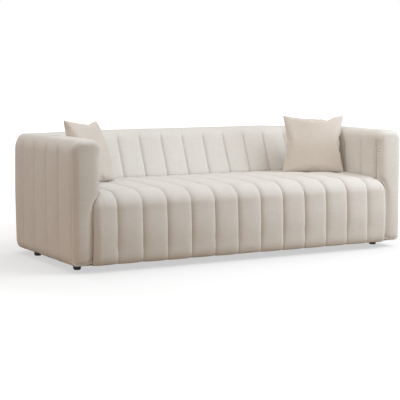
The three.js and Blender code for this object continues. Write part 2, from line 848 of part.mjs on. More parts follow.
const finishes = {
  fabric: new THREE.MeshStandardMaterial({ color: "#e4dcd0", roughness: 0.92, metalness: 0 }),
  pillowFabric: new THREE.MeshStandardMaterial({ color: "#dfd3c5", roughness: 0.92, metalness: 0 }),
  foam: new THREE.MeshStandardMaterial({ color: "#ede6c8", roughness: 0.95, metalness: 0 }),
  timber: new THREE.MeshStandardMaterial({ color: "#c9a877", roughness: 0.7, metalness: 0 }),
  plywood: new THREE.MeshStandardMaterial({ color: "#b99a6b", roughness: 0.75, metalness: 0 }),
  webbing: new THREE.MeshStandardMaterial({ color: "#6d6350", roughness: 0.9, metalness: 0 }),
  lining: new THREE.MeshStandardMaterial({ color: "#242424", roughness: 0.95, metalness: 0 }),
  plastic: new THREE.MeshStandardMaterial({ color: "#161616", roughness: 0.5, metalness: 0 }),
  steel: new THREE.MeshStandardMaterial({ color: "#b8babd", roughness: 0.35, metalness: 1 }),
  felt: new THREE.MeshStandardMaterial({ color: "#3a3836", roughness: 0.95, metalness: 0 }),
};

const sofa = new THREE.Group();
sofa.name = "tuxedo_sofa";

function add(name, geometry, material, parent = sofa) {
  const mesh = new THREE.Mesh(geometry, material);
  mesh.name = name;
  parent.add(mesh);
  return mesh;
}

function addBase() {
  const longRail = (y) =>
    block([-railHalfLength, y, railBottom], [railHalfLength, y + boardThickness, seatRailTop]);
  add("front_rail", longRail(frontRailFrontY), finishes.timber);
  add("rear_rail", longRail(rearRailFrontY), finishes.timber);
  const y = [frontRailFrontY + boardThickness + fit, rearRailFrontY - fit];
  const crossRail = (x, width) =>
    block([x - width / 2, y[0], railBottom], [x + width / 2, y[1], seatRailTop]);
  add("cross_rail_left", crossRail(-sideCrossRailPlace, boardThickness), finishes.timber);
  add("cross_rail_right", crossRail(sideCrossRailPlace, boardThickness), finishes.timber);
  const center = footPlaces.find((place) => place.name === "center");
  add("cross_rail_center", cut(crossRail(0, centerRailWidth), boltHole(center)), finishes.timber);
  for (const [name, side] of [["left", -1], ["right", 1]]) {
    const corner = new THREE.Shape();
    corner.moveTo(0, 0);
    corner.lineTo(cornerBlockLeg, 0);
    corner.lineTo(0, cornerBlockLeg);
    const wedge = new THREE.ExtrudeGeometry(corner, { depth: cornerBlockHeight, bevelEnabled: false });
    if (side > 0) wedge.rotateZ(Math.PI / 2);
    wedge.translate(side * railHalfLength, y[0], railBottom);
    add(`corner_block_${name}`, wedge, finishes.timber);
  }
}

function addArm(name, side) {
  const timber = armTimber(side);
  const feet = footPlaces.filter((place) => place.x * side > 0);
  add(`arm_bottom_rail_${name}`, cut(timber.bottom_rail, ...feet.map(boltHole)), finishes.timber);
  add(`arm_front_post_${name}`, timber.front_post, finishes.timber);
  add(`arm_rear_post_${name}`, timber.rear_post, finishes.timber);
  add(`arm_top_rail_${name}`, timber.top_rail, finishes.timber);
  add(`arm_side_panel_${name}`, timber.side_panel, finishes.plywood);
  add(`arm_foam_${name}`, armFoam(side), finishes.foam);
  add(`arm_cover_${name}`, armCover(side), finishes.fabric);
  add(`arm_front_panel_${name}`, armFrontPanel(side), finishes.fabric);
}

function addBack() {
  const topRailBottom = armFrameTop - armTopRailThickness;
  const y = [backFrameFrontY, backFrameRearY];
  const half = railHalfLength;
  add("back_top_rail", block([-half, y[0], topRailBottom], [half, y[1], armFrameTop]), finishes.timber);
  add(
    "back_panel",
    block([-half, y[1] + fit, railBottom], [half, y[1] + fit + sidePanelThickness, armFrameTop]),
    finishes.plywood,
  );
  for (let i = 0; i < backUprights; i += 1) {
    const x = THREE.MathUtils.lerp(-half, half - backUprightWidth, i / (backUprights - 1));
    const upright = block([x, y[0], railBottom], [x + backUprightWidth, y[1], topRailBottom - fit]);
    add(`back_upright_${i + 1}`, upright, finishes.timber);
  }
  add("back_foam", backFoam(), finishes.foam);
  add("back_cover", backCover(), finishes.fabric);
}

function addSeat() {
  const firstStrap = strapFromArm - railHalfLength;
  for (let i = 0; i < straps; i += 1) {
    const x = THREE.MathUtils.lerp(firstStrap, -firstStrap - strapWidth, i / (straps - 1));
    const y = [frontRailFrontY + fit, rearRailFrontY + boardThickness - fit];
    const strap = block([x, y[0], seatRailTop + fit], [x + strapWidth, y[1], strapTop]);
    add(`seat_strap_${i + 1}`, strap, finishes.webbing);
  }
  add("seat_foam", seatFoam(), finishes.foam);
  add("front_pad", frontPad(), finishes.foam);
  add("seat_cover", seatCover(), finishes.fabric);
  add("dust_cover", dustCover(), finishes.lining);
}

function addFeet() {
  for (const place of footPlaces) {
    for (const [name, geometry, material] of [
      ["foot", foot(), finishes.plastic],
      ["foot_glide", glide(), finishes.felt],
      ["foot_bolt", bolt(), finishes.steel],
    ]) {
      add(`${name}_${place.name}`, geometry, material).position.set(place.x, place.y, 0);
    }
  }
}

function addPillow(name) {
  const { side, fromArm, fromBack, turn, lean } = pillowPlaces[name];
  const standing = new THREE.Group();
  standing.position.set(side * (innerArmX - fromArm), backFrontY - fromBack, 0);
  standing.rotation.z = turn;
  const leaning = new THREE.Group();
  leaning.rotation.x = -lean;
  standing.add(leaning);
  sofa.add(standing);
  setDown(standing, leaning, sofa.getObjectByName("seat_cover"));
  const { cover, insert } = pillowParts();
  add(`pillow_cover_${name}`, cover, finishes.pillowFabric, leaning);
  add(`pillow_insert_${name}`, insert, finishes.foam, leaning);
}

addBase();
addArm("left", -1);
addArm("right", 1);
addBack();
addSeat();
addFeet();
addPillow("left");
addPillow("right");

export default sofa;
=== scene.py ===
import sys
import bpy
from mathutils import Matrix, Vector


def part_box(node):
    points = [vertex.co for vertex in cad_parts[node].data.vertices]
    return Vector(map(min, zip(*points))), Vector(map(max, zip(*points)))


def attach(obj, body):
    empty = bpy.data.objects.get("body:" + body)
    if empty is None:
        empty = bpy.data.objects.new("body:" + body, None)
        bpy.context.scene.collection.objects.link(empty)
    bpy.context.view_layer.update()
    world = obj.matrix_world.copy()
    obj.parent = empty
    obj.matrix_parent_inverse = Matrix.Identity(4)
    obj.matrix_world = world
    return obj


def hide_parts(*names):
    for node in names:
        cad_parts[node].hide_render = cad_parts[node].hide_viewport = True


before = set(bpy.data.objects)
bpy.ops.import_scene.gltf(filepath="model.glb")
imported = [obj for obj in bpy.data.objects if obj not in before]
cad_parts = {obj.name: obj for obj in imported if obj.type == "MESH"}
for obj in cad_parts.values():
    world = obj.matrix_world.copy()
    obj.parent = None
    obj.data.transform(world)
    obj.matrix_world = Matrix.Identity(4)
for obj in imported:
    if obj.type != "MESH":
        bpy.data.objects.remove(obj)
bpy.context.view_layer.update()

# Channel-tufted tuxedo sofa with a tight bench seat and two loose pillows.
# Metres, +Z up. The origin is on the floor under the middle of the sofa, and the sofa faces -Y.

import logging
import math
from collections.abc import Sequence
from dataclasses import dataclass, field
from enum import Enum
from typing import ClassVar, NamedTuple

import bmesh
import bpy
import numpy as np
from bpy.types import Material, NodeSocket, NodeTree, Object
from mathutils import Euler, Matrix, Vector
from mathutils.geometry import delaunay_2d_cdt

Array = np.ndarray
log = logging.getLogger("sofa")

# Sizes that several pieces share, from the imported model
HALF_WIDTH = 1.090
FRONT_Y = -0.490
BACK_Y = 0.490
HEIGHT = 0.720
ARM_INNER_X = 0.915
PANEL_FRONT_Y = -0.470
WRAP_START_Y = -0.425
ARM_START_Y = -0.4245
CORNER_START_Y = 0.115
TOP_ROUND = 0.062
SEAT_TOP = 0.448
INSIDE_BOTTOM = 0.300
WALL = 0.026
FIT = 0.0003
BACK_LOW_DEPTH = 0.240
BACK_TOP_DEPTH = 0.130
SHALLOW_CHANNEL = 0.014
MM = 0.001

# Slight unevenness of the cloth: the amount, the distance between two bumps and the pattern's seed
WALL_WAVES = ((0.0011, 0.13, 1), (0.0005, 0.05, 2))
SEAT_WAVES = ((0.0012, 0.12, 3), (0.0005, 0.045, 4))
LINING_WAVES = ((0.0007, 0.11, 9),)

# A wave texture of scale 1 has one band in this many metres
WAVE_SCALE = 0.31416
WHITE = (1.0, 1.0, 1.0, 1.0)


# Colours and node trees


def srgb(code: str) -> tuple[float, ...]:
    """Turns an sRGB hex colour with a leading # to linear red, green and blue, and alpha 1."""
    shares = [int(code[i:i + 2], 16) / 255 for i in (1, 3, 5)]
    return (*(s / 12.92 if s <= 0.04045 else ((s + 0.055) / 1.055) ** 2.4 for s in shares), 1.0)


def in_scene(name: str, data: bpy.types.ID) -> Object:
    """Makes an object of its data, and links it to the scene.

    Args:
        name: The object's name.
        data: Its mesh, camera or light.

    Returns:
        The object.
    """
    made = bpy.data.objects.new(name, data)
    bpy.context.scene.collection.objects.link(made)
    return made


def blank_tree(owner: Material | bpy.types.World) -> NodeTree:
    """Empties the node tree of a material or world, and gives it.

    Args:
        owner: The material or world.

    Returns:
        Its node tree, without nodes.
    """
    owner.use_nodes = True
    owner.node_tree.nodes.clear()
    return owner.node_tree


def add_node(tree: NodeTree, kind: str, values: dict | None = None,
             out: str | int = 0) -> NodeSocket | None:
    """Adds one node.

    Args:
        tree: The node tree.
        kind: The node's type name.
        values: Attributes by name, and, by an input's name or number, its value or the socket that feeds it.
        out: The wanted output's name or number.

    Returns:
        The output socket, where the node has any.
    """
    node = tree.nodes.new(kind)
    for key, value in (values or {}).items():
        if isinstance(value, NodeSocket):
            tree.links.new(value, node.inputs[key])
        elif isinstance(key, str) and hasattr(node, key):
            setattr(node, key, value)
        else:
            node.inputs[key].default_value = value
    return node.outputs[out] if len(node.outputs) else None


def crossed_threads(tree: NodeTree, place: NodeSocket, thread_mm: float,
                    values: dict) -> NodeSocket:
    """Multiplies bands along X by bands along Y, as the threads of a weave.

    Args:
        tree: The node tree.
        place: The place on the cloth in metres.
        thread_mm: The distance between two threads.
        values: Further values of the wave textures by the input's name.

    Returns:
        Height of the weave, from 0 to 1.
    """
    scale = WAVE_SCALE / (thread_mm * MM)
    shared = {"Vector": place, "Scale": scale, **values}
    bands = [add_node(tree, "ShaderNodeTexWave", {"bands_direction": way, **shared}, "Fac") for way in ("X", "Y")]
    return add_node(tree, "ShaderNodeMath", {"operation": "MULTIPLY", 0: bands[0], 1: bands[1]})


# Finishes


class Pattern(NamedTuple):
    """What a finish draws: share of its light colour, bumps with their strength and depth, other inputs."""

    shade: NodeSocket
    height: NodeSocket
    strength: float
    depth: float
    inputs: dict[str, float | NodeSocket]


@dataclass(frozen=True)
class Finish:
    """What all finishes share: a name, and the light and dark colours that the pattern runs between."""

    name: str
    light: str
    dark: str

    def material(self) -> Material:
        """Builds the material, with the finish's pattern in its colour, relief and other inputs.

        Returns:
            The material.
        """
        material = bpy.data.materials.new(self.name)
        tree = blank_tree(material)
        drawn = self.pattern(tree)
        colour = add_node(tree, "ShaderNodeMix", {"data_type": "RGBA", 0: drawn.shade, 6: srgb(self.dark),
                                                  7: srgb(self.light)}, 2)
        bump = add_node(tree, "ShaderNodeBump", {"Strength": drawn.strength, "Distance": drawn.depth,
                                                 "Height": drawn.height})
        shader = add_node(tree, "ShaderNodeBsdfPrincipled",
                          {"Base Color": colour, "Normal": bump, **drawn.inputs})
        add_node(tree, "ShaderNodeOutputMaterial", {"Surface": shader})
        return material

    def pattern(self, tree: NodeTree) -> Pattern:
        """Draws the finish's own pattern."""
        raise NotImplementedError


@dataclass(frozen=True)
class WovenCloth(Finish):
    """Plain woven cloth with slub yarns: matt, a little uneven in colour, with a soft sheen.

    The real threads are about 0.6 mm apart, too fine to show, so the weave is drawn at thread_mm.
    """

    thread_mm: float = 2.2
    slub_mm: float = 4.0
    slub_run_mm: float = 90.0
    sheen: float = 0.2
    relief: float = 0.16

    def pattern(self, tree: NodeTree) -> Pattern:
        """Draws threads and slubs on the piece's own UV map, which is in metres along the cloth.

        Args:
            tree: The material's node tree.

        Returns:
            The pattern.
        """
        cloth = add_node(tree, "ShaderNodeUVMap", {"uv_map": "cloth"})
        place = add_node(tree, "ShaderNodeTexCoord", out="Object")
        weave = crossed_threads(tree, cloth, self.thread_mm,
                                {"Distortion": 1.6, "Detail": 1.0, "Detail Scale": 0.4})
        slubs = []
        for size in ((self.slub_run_mm, self.slub_mm), (self.slub_mm, self.slub_run_mm)):
            scale = (*(1 / (length * MM) for length in size), 1.0)
            drawn_out = add_node(tree, "ShaderNodeMapping", {"Vector": cloth, "Scale": scale})
            slubs.append(add_node(tree, "ShaderNodeTexNoise",
                                  {"Vector": drawn_out, "Scale": 1.0, "Detail": 2.0, "Roughness": 0.6}, "Fac"))
        slub = add_node(tree, "ShaderNodeMath", {"operation": "ADD", 0: slubs[0], 1: slubs[1]})
        cloud = add_node(tree, "ShaderNodeTexNoise", {"Vector": place, "Scale": 5.0, "Detail": 3.0}, "Fac")
        slub_share = add_node(tree, "ShaderNodeMapRange",
                              {"Value": slub, "From Min": 0.7, "From Max": 1.3, "To Max": 0.7})
        cloud_share = add_node(tree, "ShaderNodeMapRange",
                               {"Value": cloud, "From Min": 0.3, "From Max": 0.7, "To Max": 0.3})
        shade = add_node(tree, "ShaderNodeMath", {"operation": "ADD", 0: slub_share, 1: cloud_share})
        height = add_node(tree, "ShaderNodeMath", {"operation": "MULTIPLY_ADD", 0: slub, 1: 0.8, 2: weave})
        roughness = add_node(tree, "ShaderNodeMapRange", {"Value": weave, "To Min": 0.84, "To Max": 0.96})
        return Pattern(shade, height, self.relief, 0.5 * MM, {
            "Roughness": roughness, "Specular IOR Level": 0.2, "Sheen Weight": self.sheen,
            "Sheen Roughness": 0.55})


@dataclass(frozen=True)
class Timber(Finish):
    """Sawn softwood or plywood: long growth lines, matt and unfinished."""

    ring_mm: float
    along: int = 0

    def pattern(self, tree: NodeTree) -> Pattern:
        """Draws growth lines along one axis of the piece.

        Args:
            tree: The material's node tree.

        Returns:
            The pattern.
        """
        scale = [1.0, 1.0, 1.0]
        scale[self.along] = 0.08
        place = add_node(tree, "ShaderNodeTexCoord", out="Object")
        drawn_out = add_node(tree, "ShaderNodeMapping", {"Vector": place, "Scale": scale})
        rings = add_node(tree, "ShaderNodeTexNoise", {"Vector": drawn_out, "Scale": 1 / (self.ring_mm * MM),
                                                      "Detail": 4.0, "Distortion": 0.6}, "Fac")
        shade = add_node(tree, "ShaderNodeMapRange", {"Value": rings, "From Min": 0.35, "From Max": 0.68})
        return Pattern(shade, rings, 0.3, 0.4 * MM, {"Roughness": 0.72})


@dataclass(frozen=True)
class Grained(Finish):
    """A stuff with an even, fine grain: foam cells, felt fibres, moulded plastic or plated steel."""

    grain_mm: float
    roughness: float
    relief: float
    metallic: float = 0.0

    def pattern(self, tree: NodeTree) -> Pattern:
        """Draws two sizes of noise: the fine one for relief and gloss, the coarse one for colour.

        Args:
            tree: The material's node tree.

        Returns:
            The pattern.
        """
        place = add_node(tree, "ShaderNodeTexCoord", out="Object")
        size = self.grain_mm * MM
        grain = add_node(tree, "ShaderNodeTexNoise", {"Vector": place, "Scale": 1 / size, "Detail": 3.0}, "Fac")
        cloud = add_node(tree, "ShaderNodeTexNoise", {"Vector": place, "Scale": 1 / (14 * size), "Detail": 2.0},
                         "Fac")
        shade = add_node(tree, "ShaderNodeMapRange", {"Value": cloud, "From Min": 0.3, "From Max": 0.7})
        roughness = add_node(tree, "ShaderNodeMapRange", {
            "Value": grain, "From Min": 0.3, "From Max": 0.7, "To Min": max(self.roughness - 0.08, 0.0),
            "To Max": min(self.roughness + 0.08, 1.0)})
        return Pattern(shade, grain, self.relief, size / 2, {"Roughness": roughness, "Metallic": self.metallic})


@dataclass(frozen=True)
class Strapping(Finish):
    """Woven jute or polypropylene: a coarse, dull cross weave."""

    thread_mm: float

    def pattern(self, tree: NodeTree) -> Pattern:
        """Draws crossed threads by the place on the object.

        Args:
            tree: The material's node tree.

        Returns:
            The pattern.
        """
        place = add_node(tree, "ShaderNodeTexCoord", out="Object")
        cross = crossed_threads(tree, place, self.thread_mm, {"Distortion": 1.0})
        return Pattern(cross, cross, 0.5, 0.4 * MM, {"Roughness": 0.9})


@dataclass
class Finishes:
    """Every finish of the sofa, by the material slot that it stands for."""

    made: dict[str, Material] = field(default_factory=dict)

    def build(self) -> None:
        """Makes the materials."""
        kinds = [
            # Linen, plain woven: matt and warm, with fine slubs both ways
            ("upholstery", WovenCloth("ivory_linen_weave", "#e5e1db", "#d9d3cb")),
            # Cotton, plain woven: a closer weave, a little darker and warmer
            ("pillow_cloth", WovenCloth("cream_cotton_weave", "#dfd5cb", "#d3c8bd", thread_mm=1.8,
                                        slub_mm=3.0, slub_run_mm=40.0)),
            # Polyurethane, cut from a block: open cells, yellowish and dull
            ("foam", Grained("cut_polyurethane_foam", "#efe8cf", "#e2d8b8", 1.6, 0.95, 0.6)),
            # Polyester fibre balls: soft white lumps
            ("pillow_filling", Grained("fibre_ball_filling", "#f2efe9", "#e4e0d8", 3.0, 0.95, 0.8)),
            # Pine, sawn: long dark growth lines on a dry, pale ground
            ("timber", Timber("sawn_pine", "#dcc094", "#b98f5d", 9.0)),
            # Birch, peeled and pressed: finer and paler lines
            ("plywood", Timber("birch_plywood", "#cdb28a", "#b3946a", 6.0, along=2)),
            # Jute, woven: coarse brown threads
            ("webbing", Strapping("jute_webbing", "#8c7c5e", "#5a4d38", 4.0)),
            # Polypropylene, woven: black with a fine cross pattern
            ("lining", Strapping("black_dust_lining", "#33322f", "#1b1a19", 3.0)),
            # ABS, moulded: nearly black, with a dull gloss
            ("foot_plastic", Grained("moulded_black_abs", "#1c1b1a", "#121110", 0.8, 0.5, 0.15)),
            # Steel, zinc plated: pale grey with a soft shine
            ("bolt_steel", Grained("zinc_plated_steel", "#b9bcc0", "#9fa2a6", 1.2, 0.36, 0.1, metallic=1.0)),
            # Wool, pressed: dark fibres without any shine
            ("felt", Grained("pressed_wool_felt", "#47433f", "#2f2c2a", 0.9, 0.97, 0.8)),
            # Cotton, spun: a shade darker than the cloth that it closes
            ("thread", Grained("spun_cotton_thread", "#dccfc2", "#c9baab", 0.5, 0.85, 0.5)),
            # Steel wire, galvanised: greyer and duller than the bolts
            ("staple_wire", Grained("galvanised_staple_wire", "#a9acb0", "#8d9095", 0.8, 0.42, 0.1,
                                    metallic=1.0)),
        ]
        self.made = {slot: kind.material() for slot, kind in kinds}

    def dress(self, piece: Object, slot: str, body: str, *nodes: str,
              fill: float | None = None) -> Object:
        """Says what a new piece rides on, stands for and is made of.

        Args:
            piece: The piece.
            slot: The material slot that it takes its finish from.
            body: The body that it moves with.
            nodes: The CAD nodes that it replaces.
            fill: Where it is padded, from 0, slack, to 1, tight; not used.

        Returns:
            The piece.
        """
        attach(piece, body)
        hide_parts(*nodes)
        piece.data.materials.clear()
        piece.data.materials.append(self.made[slot])
        return piece


# Meshes


def smoothstep(low: float, high: float, value: Array | float) -> Array:
    """Runs smoothly from 0 at low to 1 at high."""
    share = np.clip((np.asarray(value, dtype=float) - low) / (high - low), 0.0, 1.0)
    return share * share * (3 - 2 * share)


def cloth_noise(points: Array, size: float, seed: int) -> Array:
    """Smooth noise in space, the same on every run.

    Args:
        points: Places, with x, y and z in the last axis.
        size: The distance between two bumps in metres.
        seed: Picks one pattern.

    Returns:
        Values from -1 to 1.
    """
    scaled = points / size + 31.7 * (seed + 1)
    cell = np.floor(scaled).astype(np.int64)
    part = scaled - cell
    part = part * part * (3 - 2 * part)
    total = np.zeros(points.shape[:-1])
    for dx, dy, dz in np.ndindex(2, 2, 2):
        key = (cell[..., 0] + dx) * 73856093 ^ (cell[..., 1] + dy) * 19349663 ^ (cell[..., 2] + dz) * 83492791
        key = (key ^ (key >> 13)) * 1274126177 & 0xFFFFFFFF
        key = (key ^ (key >> 15)) * 668265263 & 0xFFFFFFFF
        weight = 1.0
        for axis, step in enumerate((dx, dy, dz)):
            weight = weight * (part[..., axis] if step else 1 - part[..., axis])
        total += weight * (key / 0x7FFFFFFF - 1)
    return total


def uneven(points: Array, waves: Sequence[tuple[float, float, int]]) -> Array:
    """Adds up layers of smooth noise, each with its amount, size and seed."""
    return sum(amount * cloth_noise(points, size, seed) for amount, size, seed in waves)


def surface_normals(points: Array) -> Array:
    """Unit normals of a grid of points, from its differences along rows and columns.

    Args:
        points: The grid.

    Returns:
        A unit vector for each point.
    """
    along = np.gradient(points, axis=0)
    across = np.gradient(points, axis=1)
    normals = np.cross(along, across)
    length = np.linalg.norm(normals, axis=-1, keepdims=True)
    return normals / np.maximum(length, 1e-12)


def running_length(points: Array) -> Array:
    """Distance along a line of points, from its first point."""
    steps = np.linalg.norm(np.diff(points, axis=0), axis=1)
    return np.concatenate([[0.0], np.cumsum(steps)])


def circle(x: float, y: float, radius: float, count: int) -> list[tuple[float, float]]:
    """Points round a circle about x and y."""
    angles = np.linspace(0, 2 * math.pi, count + 1)[:-1]
    return [(x + radius * math.cos(a), y + radius * math.sin(a)) for a in angles]


def four_sided(number: Array, closed: bool = False) -> list[list[int]]:
    """Faces over a grid of point numbers; where it is closed, its last column joins its first.

    Args:
        number: The grid.
        closed: Whether it is closed.

    Returns:
        The faces.
    """
    turned = np.roll(number, -1, axis=1)
    corners = [number[:-1, :-1], number[1:, :-1], number[1:, 1:], number[:-1, 1:]]
    if closed:
        corners = [number[:-1], turned[:-1], turned[1:], number[1:]]
    return np.stack(corners, axis=-1).reshape(-1, 4).tolist()


def zipped(fine: Sequence[int], coarse: Sequence[int], stops: Sequence[int]) -> list[tuple[int, ...]]:
    """Triangles between a fine border and a coarse one.

    Args:
        fine: Vertex numbers along the fine border.
        coarse: Vertex numbers along the coarse border.
        stops: For each coarse vertex, its place in the fine border.

    Returns:
        The faces.
    """
    faces = []
    for k in range(len(coarse) - 1):
        middle = (stops[k] + stops[k + 1]) // 2
        for i in range(stops[k], stops[k + 1]):
            faces.append((fine[i], fine[i + 1], coarse[k if i < middle else k + 1]))
        faces.append((coarse[k], fine[middle], coarse[k + 1]))
    return faces


def mesh_piece(name: str, points: Array, faces: list, uv: Array | None = None,
               crease: float = 60.0) -> Object:
    """Makes a smooth-shaded object at the origin, its faces turned outwards.

    Args:
        name: The piece's name.
        points: Its points in metres.
        faces: Its faces as lists of point numbers.
        uv: A place on the cloth for each point, in metres.
        crease: Edges sharper than this many degrees stay sharp.

    Returns:
        The object.
    """
    mesh = bpy.data.meshes.new(name)
    mesh.from_pydata(np.asarray(points, dtype=float).tolist(), [], [list(map(int, face)) for face in faces])
    if uv is not None:
        layer = mesh.uv_layers.new(name="cloth")
        corners = np.empty(len(mesh.loops), dtype=np.int32)
        mesh.loops.foreach_get("vertex_index", corners)
        layer.data.foreach_set("uv", np.asarray(uv, dtype=np.float32)[corners].ravel())
    work = bmesh.new()
    work.from_mesh(mesh)
    bmesh.ops.dissolve_degenerate(work, dist=1e-7, edges=work.edges)
    bmesh.ops.recalc_face_normals(work, faces=work.faces)
    if work.calc_volume(signed=True) < 0:
        bmesh.ops.reverse_faces(work, faces=work.faces)
    work.to_mesh(mesh)
    work.free()
    mesh.shade_smooth()
    mesh.set_sharp_from_angle(angle=math.radians(crease))
    return in_scene(name, mesh)


def shell_piece(name: str, outside: Array, inside: Array, rows: Sequence[int], columns: Sequence[int],
                uv: Array) -> Object:
    """Closes a fine outer surface with a coarse inner one, as cloth on a padded wall.

    Args:
        name: The piece's name.
        outside: The fine grid of points.
        inside: The coarse grid.
        rows: For each inside row, its row outside.
        columns: For each inside column, its column outside.
        uv: A place on the cloth for each outside point.

    Returns:
        The closed object.
    """
    high, wide = outside.shape[:2]
    low, narrow = inside.shape[:2]
    start = high * wide
    fine = np.arange(start).reshape(high, wide)
    coarse = start + np.arange(low * narrow).reshape(low, narrow)
    faces = four_sided(fine) + four_sided(coarse)
    faces += zipped(fine[:, 0], coarse[:, 0], rows) + zipped(fine[:, -1], coarse[:, -1], rows)
    faces += zipped(fine[0], coarse[0], columns) + zipped(fine[-1], coarse[-1], columns)
    points = np.concatenate([outside.reshape(-1, 3), inside.reshape(-1, 3)])
    inner_uv = uv[np.ix_(rows, columns)].reshape(-1, 2)
    return mesh_piece(name, points, faces, np.concatenate([uv.reshape(-1, 2), inner_uv]))


def cloth_uv(points: Array) -> Array:
    """Lengths along the middle row and column of a grid, as a place on the cloth for each point.

    Args:
        points: The grid.

    Returns:
        Two lengths in metres for each point.
    """
    high, wide = points.shape[:2]
    along = running_length(points[:, wide // 3])
    across = running_length(points[high // 2])
    return np.stack(np.meshgrid(along, across, indexing="ij"), axis=-1)


# Sewn channels


@dataclass(frozen=True)
class Channels:
    """Sewn channels along a surface: a soft crown between two crisp seams."""

    seams: tuple[float, ...]
    widths: tuple[float, ...]
    depth: float = 0.018
    soft_share: float = 0.48
    soft_power: float = 3.0
    crisp_power: float = 12.0
    pucker: float = 0.0007
    pucker_reach: float = 0.016

    def at(self, place: Array) -> tuple[Array, Array, Array]:
        """Reads the channels at places along the surface.

        Args:
            place: Places in the seams' own measure.

        Returns:
            The recess, 0 on a crown and 1 at a seam; the distance to the nearest seam in metres;
            and that seam's number.
        """
        seams, widths = np.array(self.seams), np.array(self.widths)
        number = np.clip(np.searchsorted(seams, place, side="right") - 1, 0, len(seams) - 2)
        share = np.clip((place - seams[number]) / (seams[number + 1] - seams[number]), 0.0, 1.0)
        edge = np.abs(2 * share - 1)
        recess = self.soft_share * edge**self.soft_power + (1 - self.soft_share) * edge**self.crisp_power
        distance = np.minimum(share, 1 - share) * widths[number]
        return recess, distance, number + (share > 0.5)

    def fall(self, place: Array, shares: Array, run: Array) -> Array:
        """How far the cloth lies in from its crown.

        Args:
            place: Places of the rows.
            shares: Share of the depth for each row and column.
            run: Distance along the seams for each column.

        Returns:
            Metres for each row and column.
        """
        recess, distance, nearest = self.at(place)
        grid = np.stack(np.broadcast_arrays(run[None, :], 0.37 * nearest[:, None], 0.0), axis=-1)
        gathers = cloth_noise(grid, self.pucker_reach, 5) + 0.5 * cloth_noise(grid, self.pucker_reach / 2, 6)
        near = np.exp(-distance / self.pucker_reach) * (1 - np.exp(-distance / 0.003))
        return shares * (self.depth * recess[:, None] + self.pucker * near[:, None] * gathers)


def crowded(start: float, end: float, seams: Sequence[float], step: float,
            close: Sequence[float]) -> Array:
    """Places from start to end, closer together beside each seam.

    Args:
        start: The first place.
        end: The last place.
        seams: Where seams are.
        step: The widest spacing.
        close: Distances from a seam that get a place of their own.

    Returns:
        The sorted places.
    """
    even = np.linspace(start, end, max(2, round(abs(end - start) / step) + 1))
    beside = [seam + side * gap for seam in seams for gap in close for side in (-1, 1)]
    wanted = sorted({round(p, 5) for p in [*beside, *seams] if min(start, end) < p < max(start, end)})
    kept = [p for p in even if all(abs(p - q) > step / 3 for q in wanted)]
    places = sorted({*kept, *wanted, start, end})
    return np.array([p for i, p in enumerate(places) if i == 0 or p - places[i - 1] > 1e-5])


# Arms and back: one upholstered wall that runs round the seat


class Face(Enum):
    """The part of the wall that a section point lies on."""

    OUTER = 0
    TOP = 1
    INNER = 2


class TopBand(Enum):
    """How the channels end at the top of the wall: the heights where they fade, and how far they do."""

    SMOOTH = ((0.622, 0.694, 1.0), (0.622, 0.694, 1.0))
    CHANNELLED = ((0.62, 0.708, 0.92), (0.655, 0.708, 0.86))

    def share(self, height: float, inner: bool = False) -> float:
        """Gives the share of the channels' depth that is left at a height, outside or inside."""
        low, high, fade = self.value[inner]
        return float(1 - fade * smoothstep(low, high, height))


class SectionPoint(NamedTuple):
    """One point of the wall's section: its face, inset, height, share across the top and channel shares."""

    face: Face
    inset: float
    height: float
    across: float
    outer: float = 0.0
    inner: float = 0.0


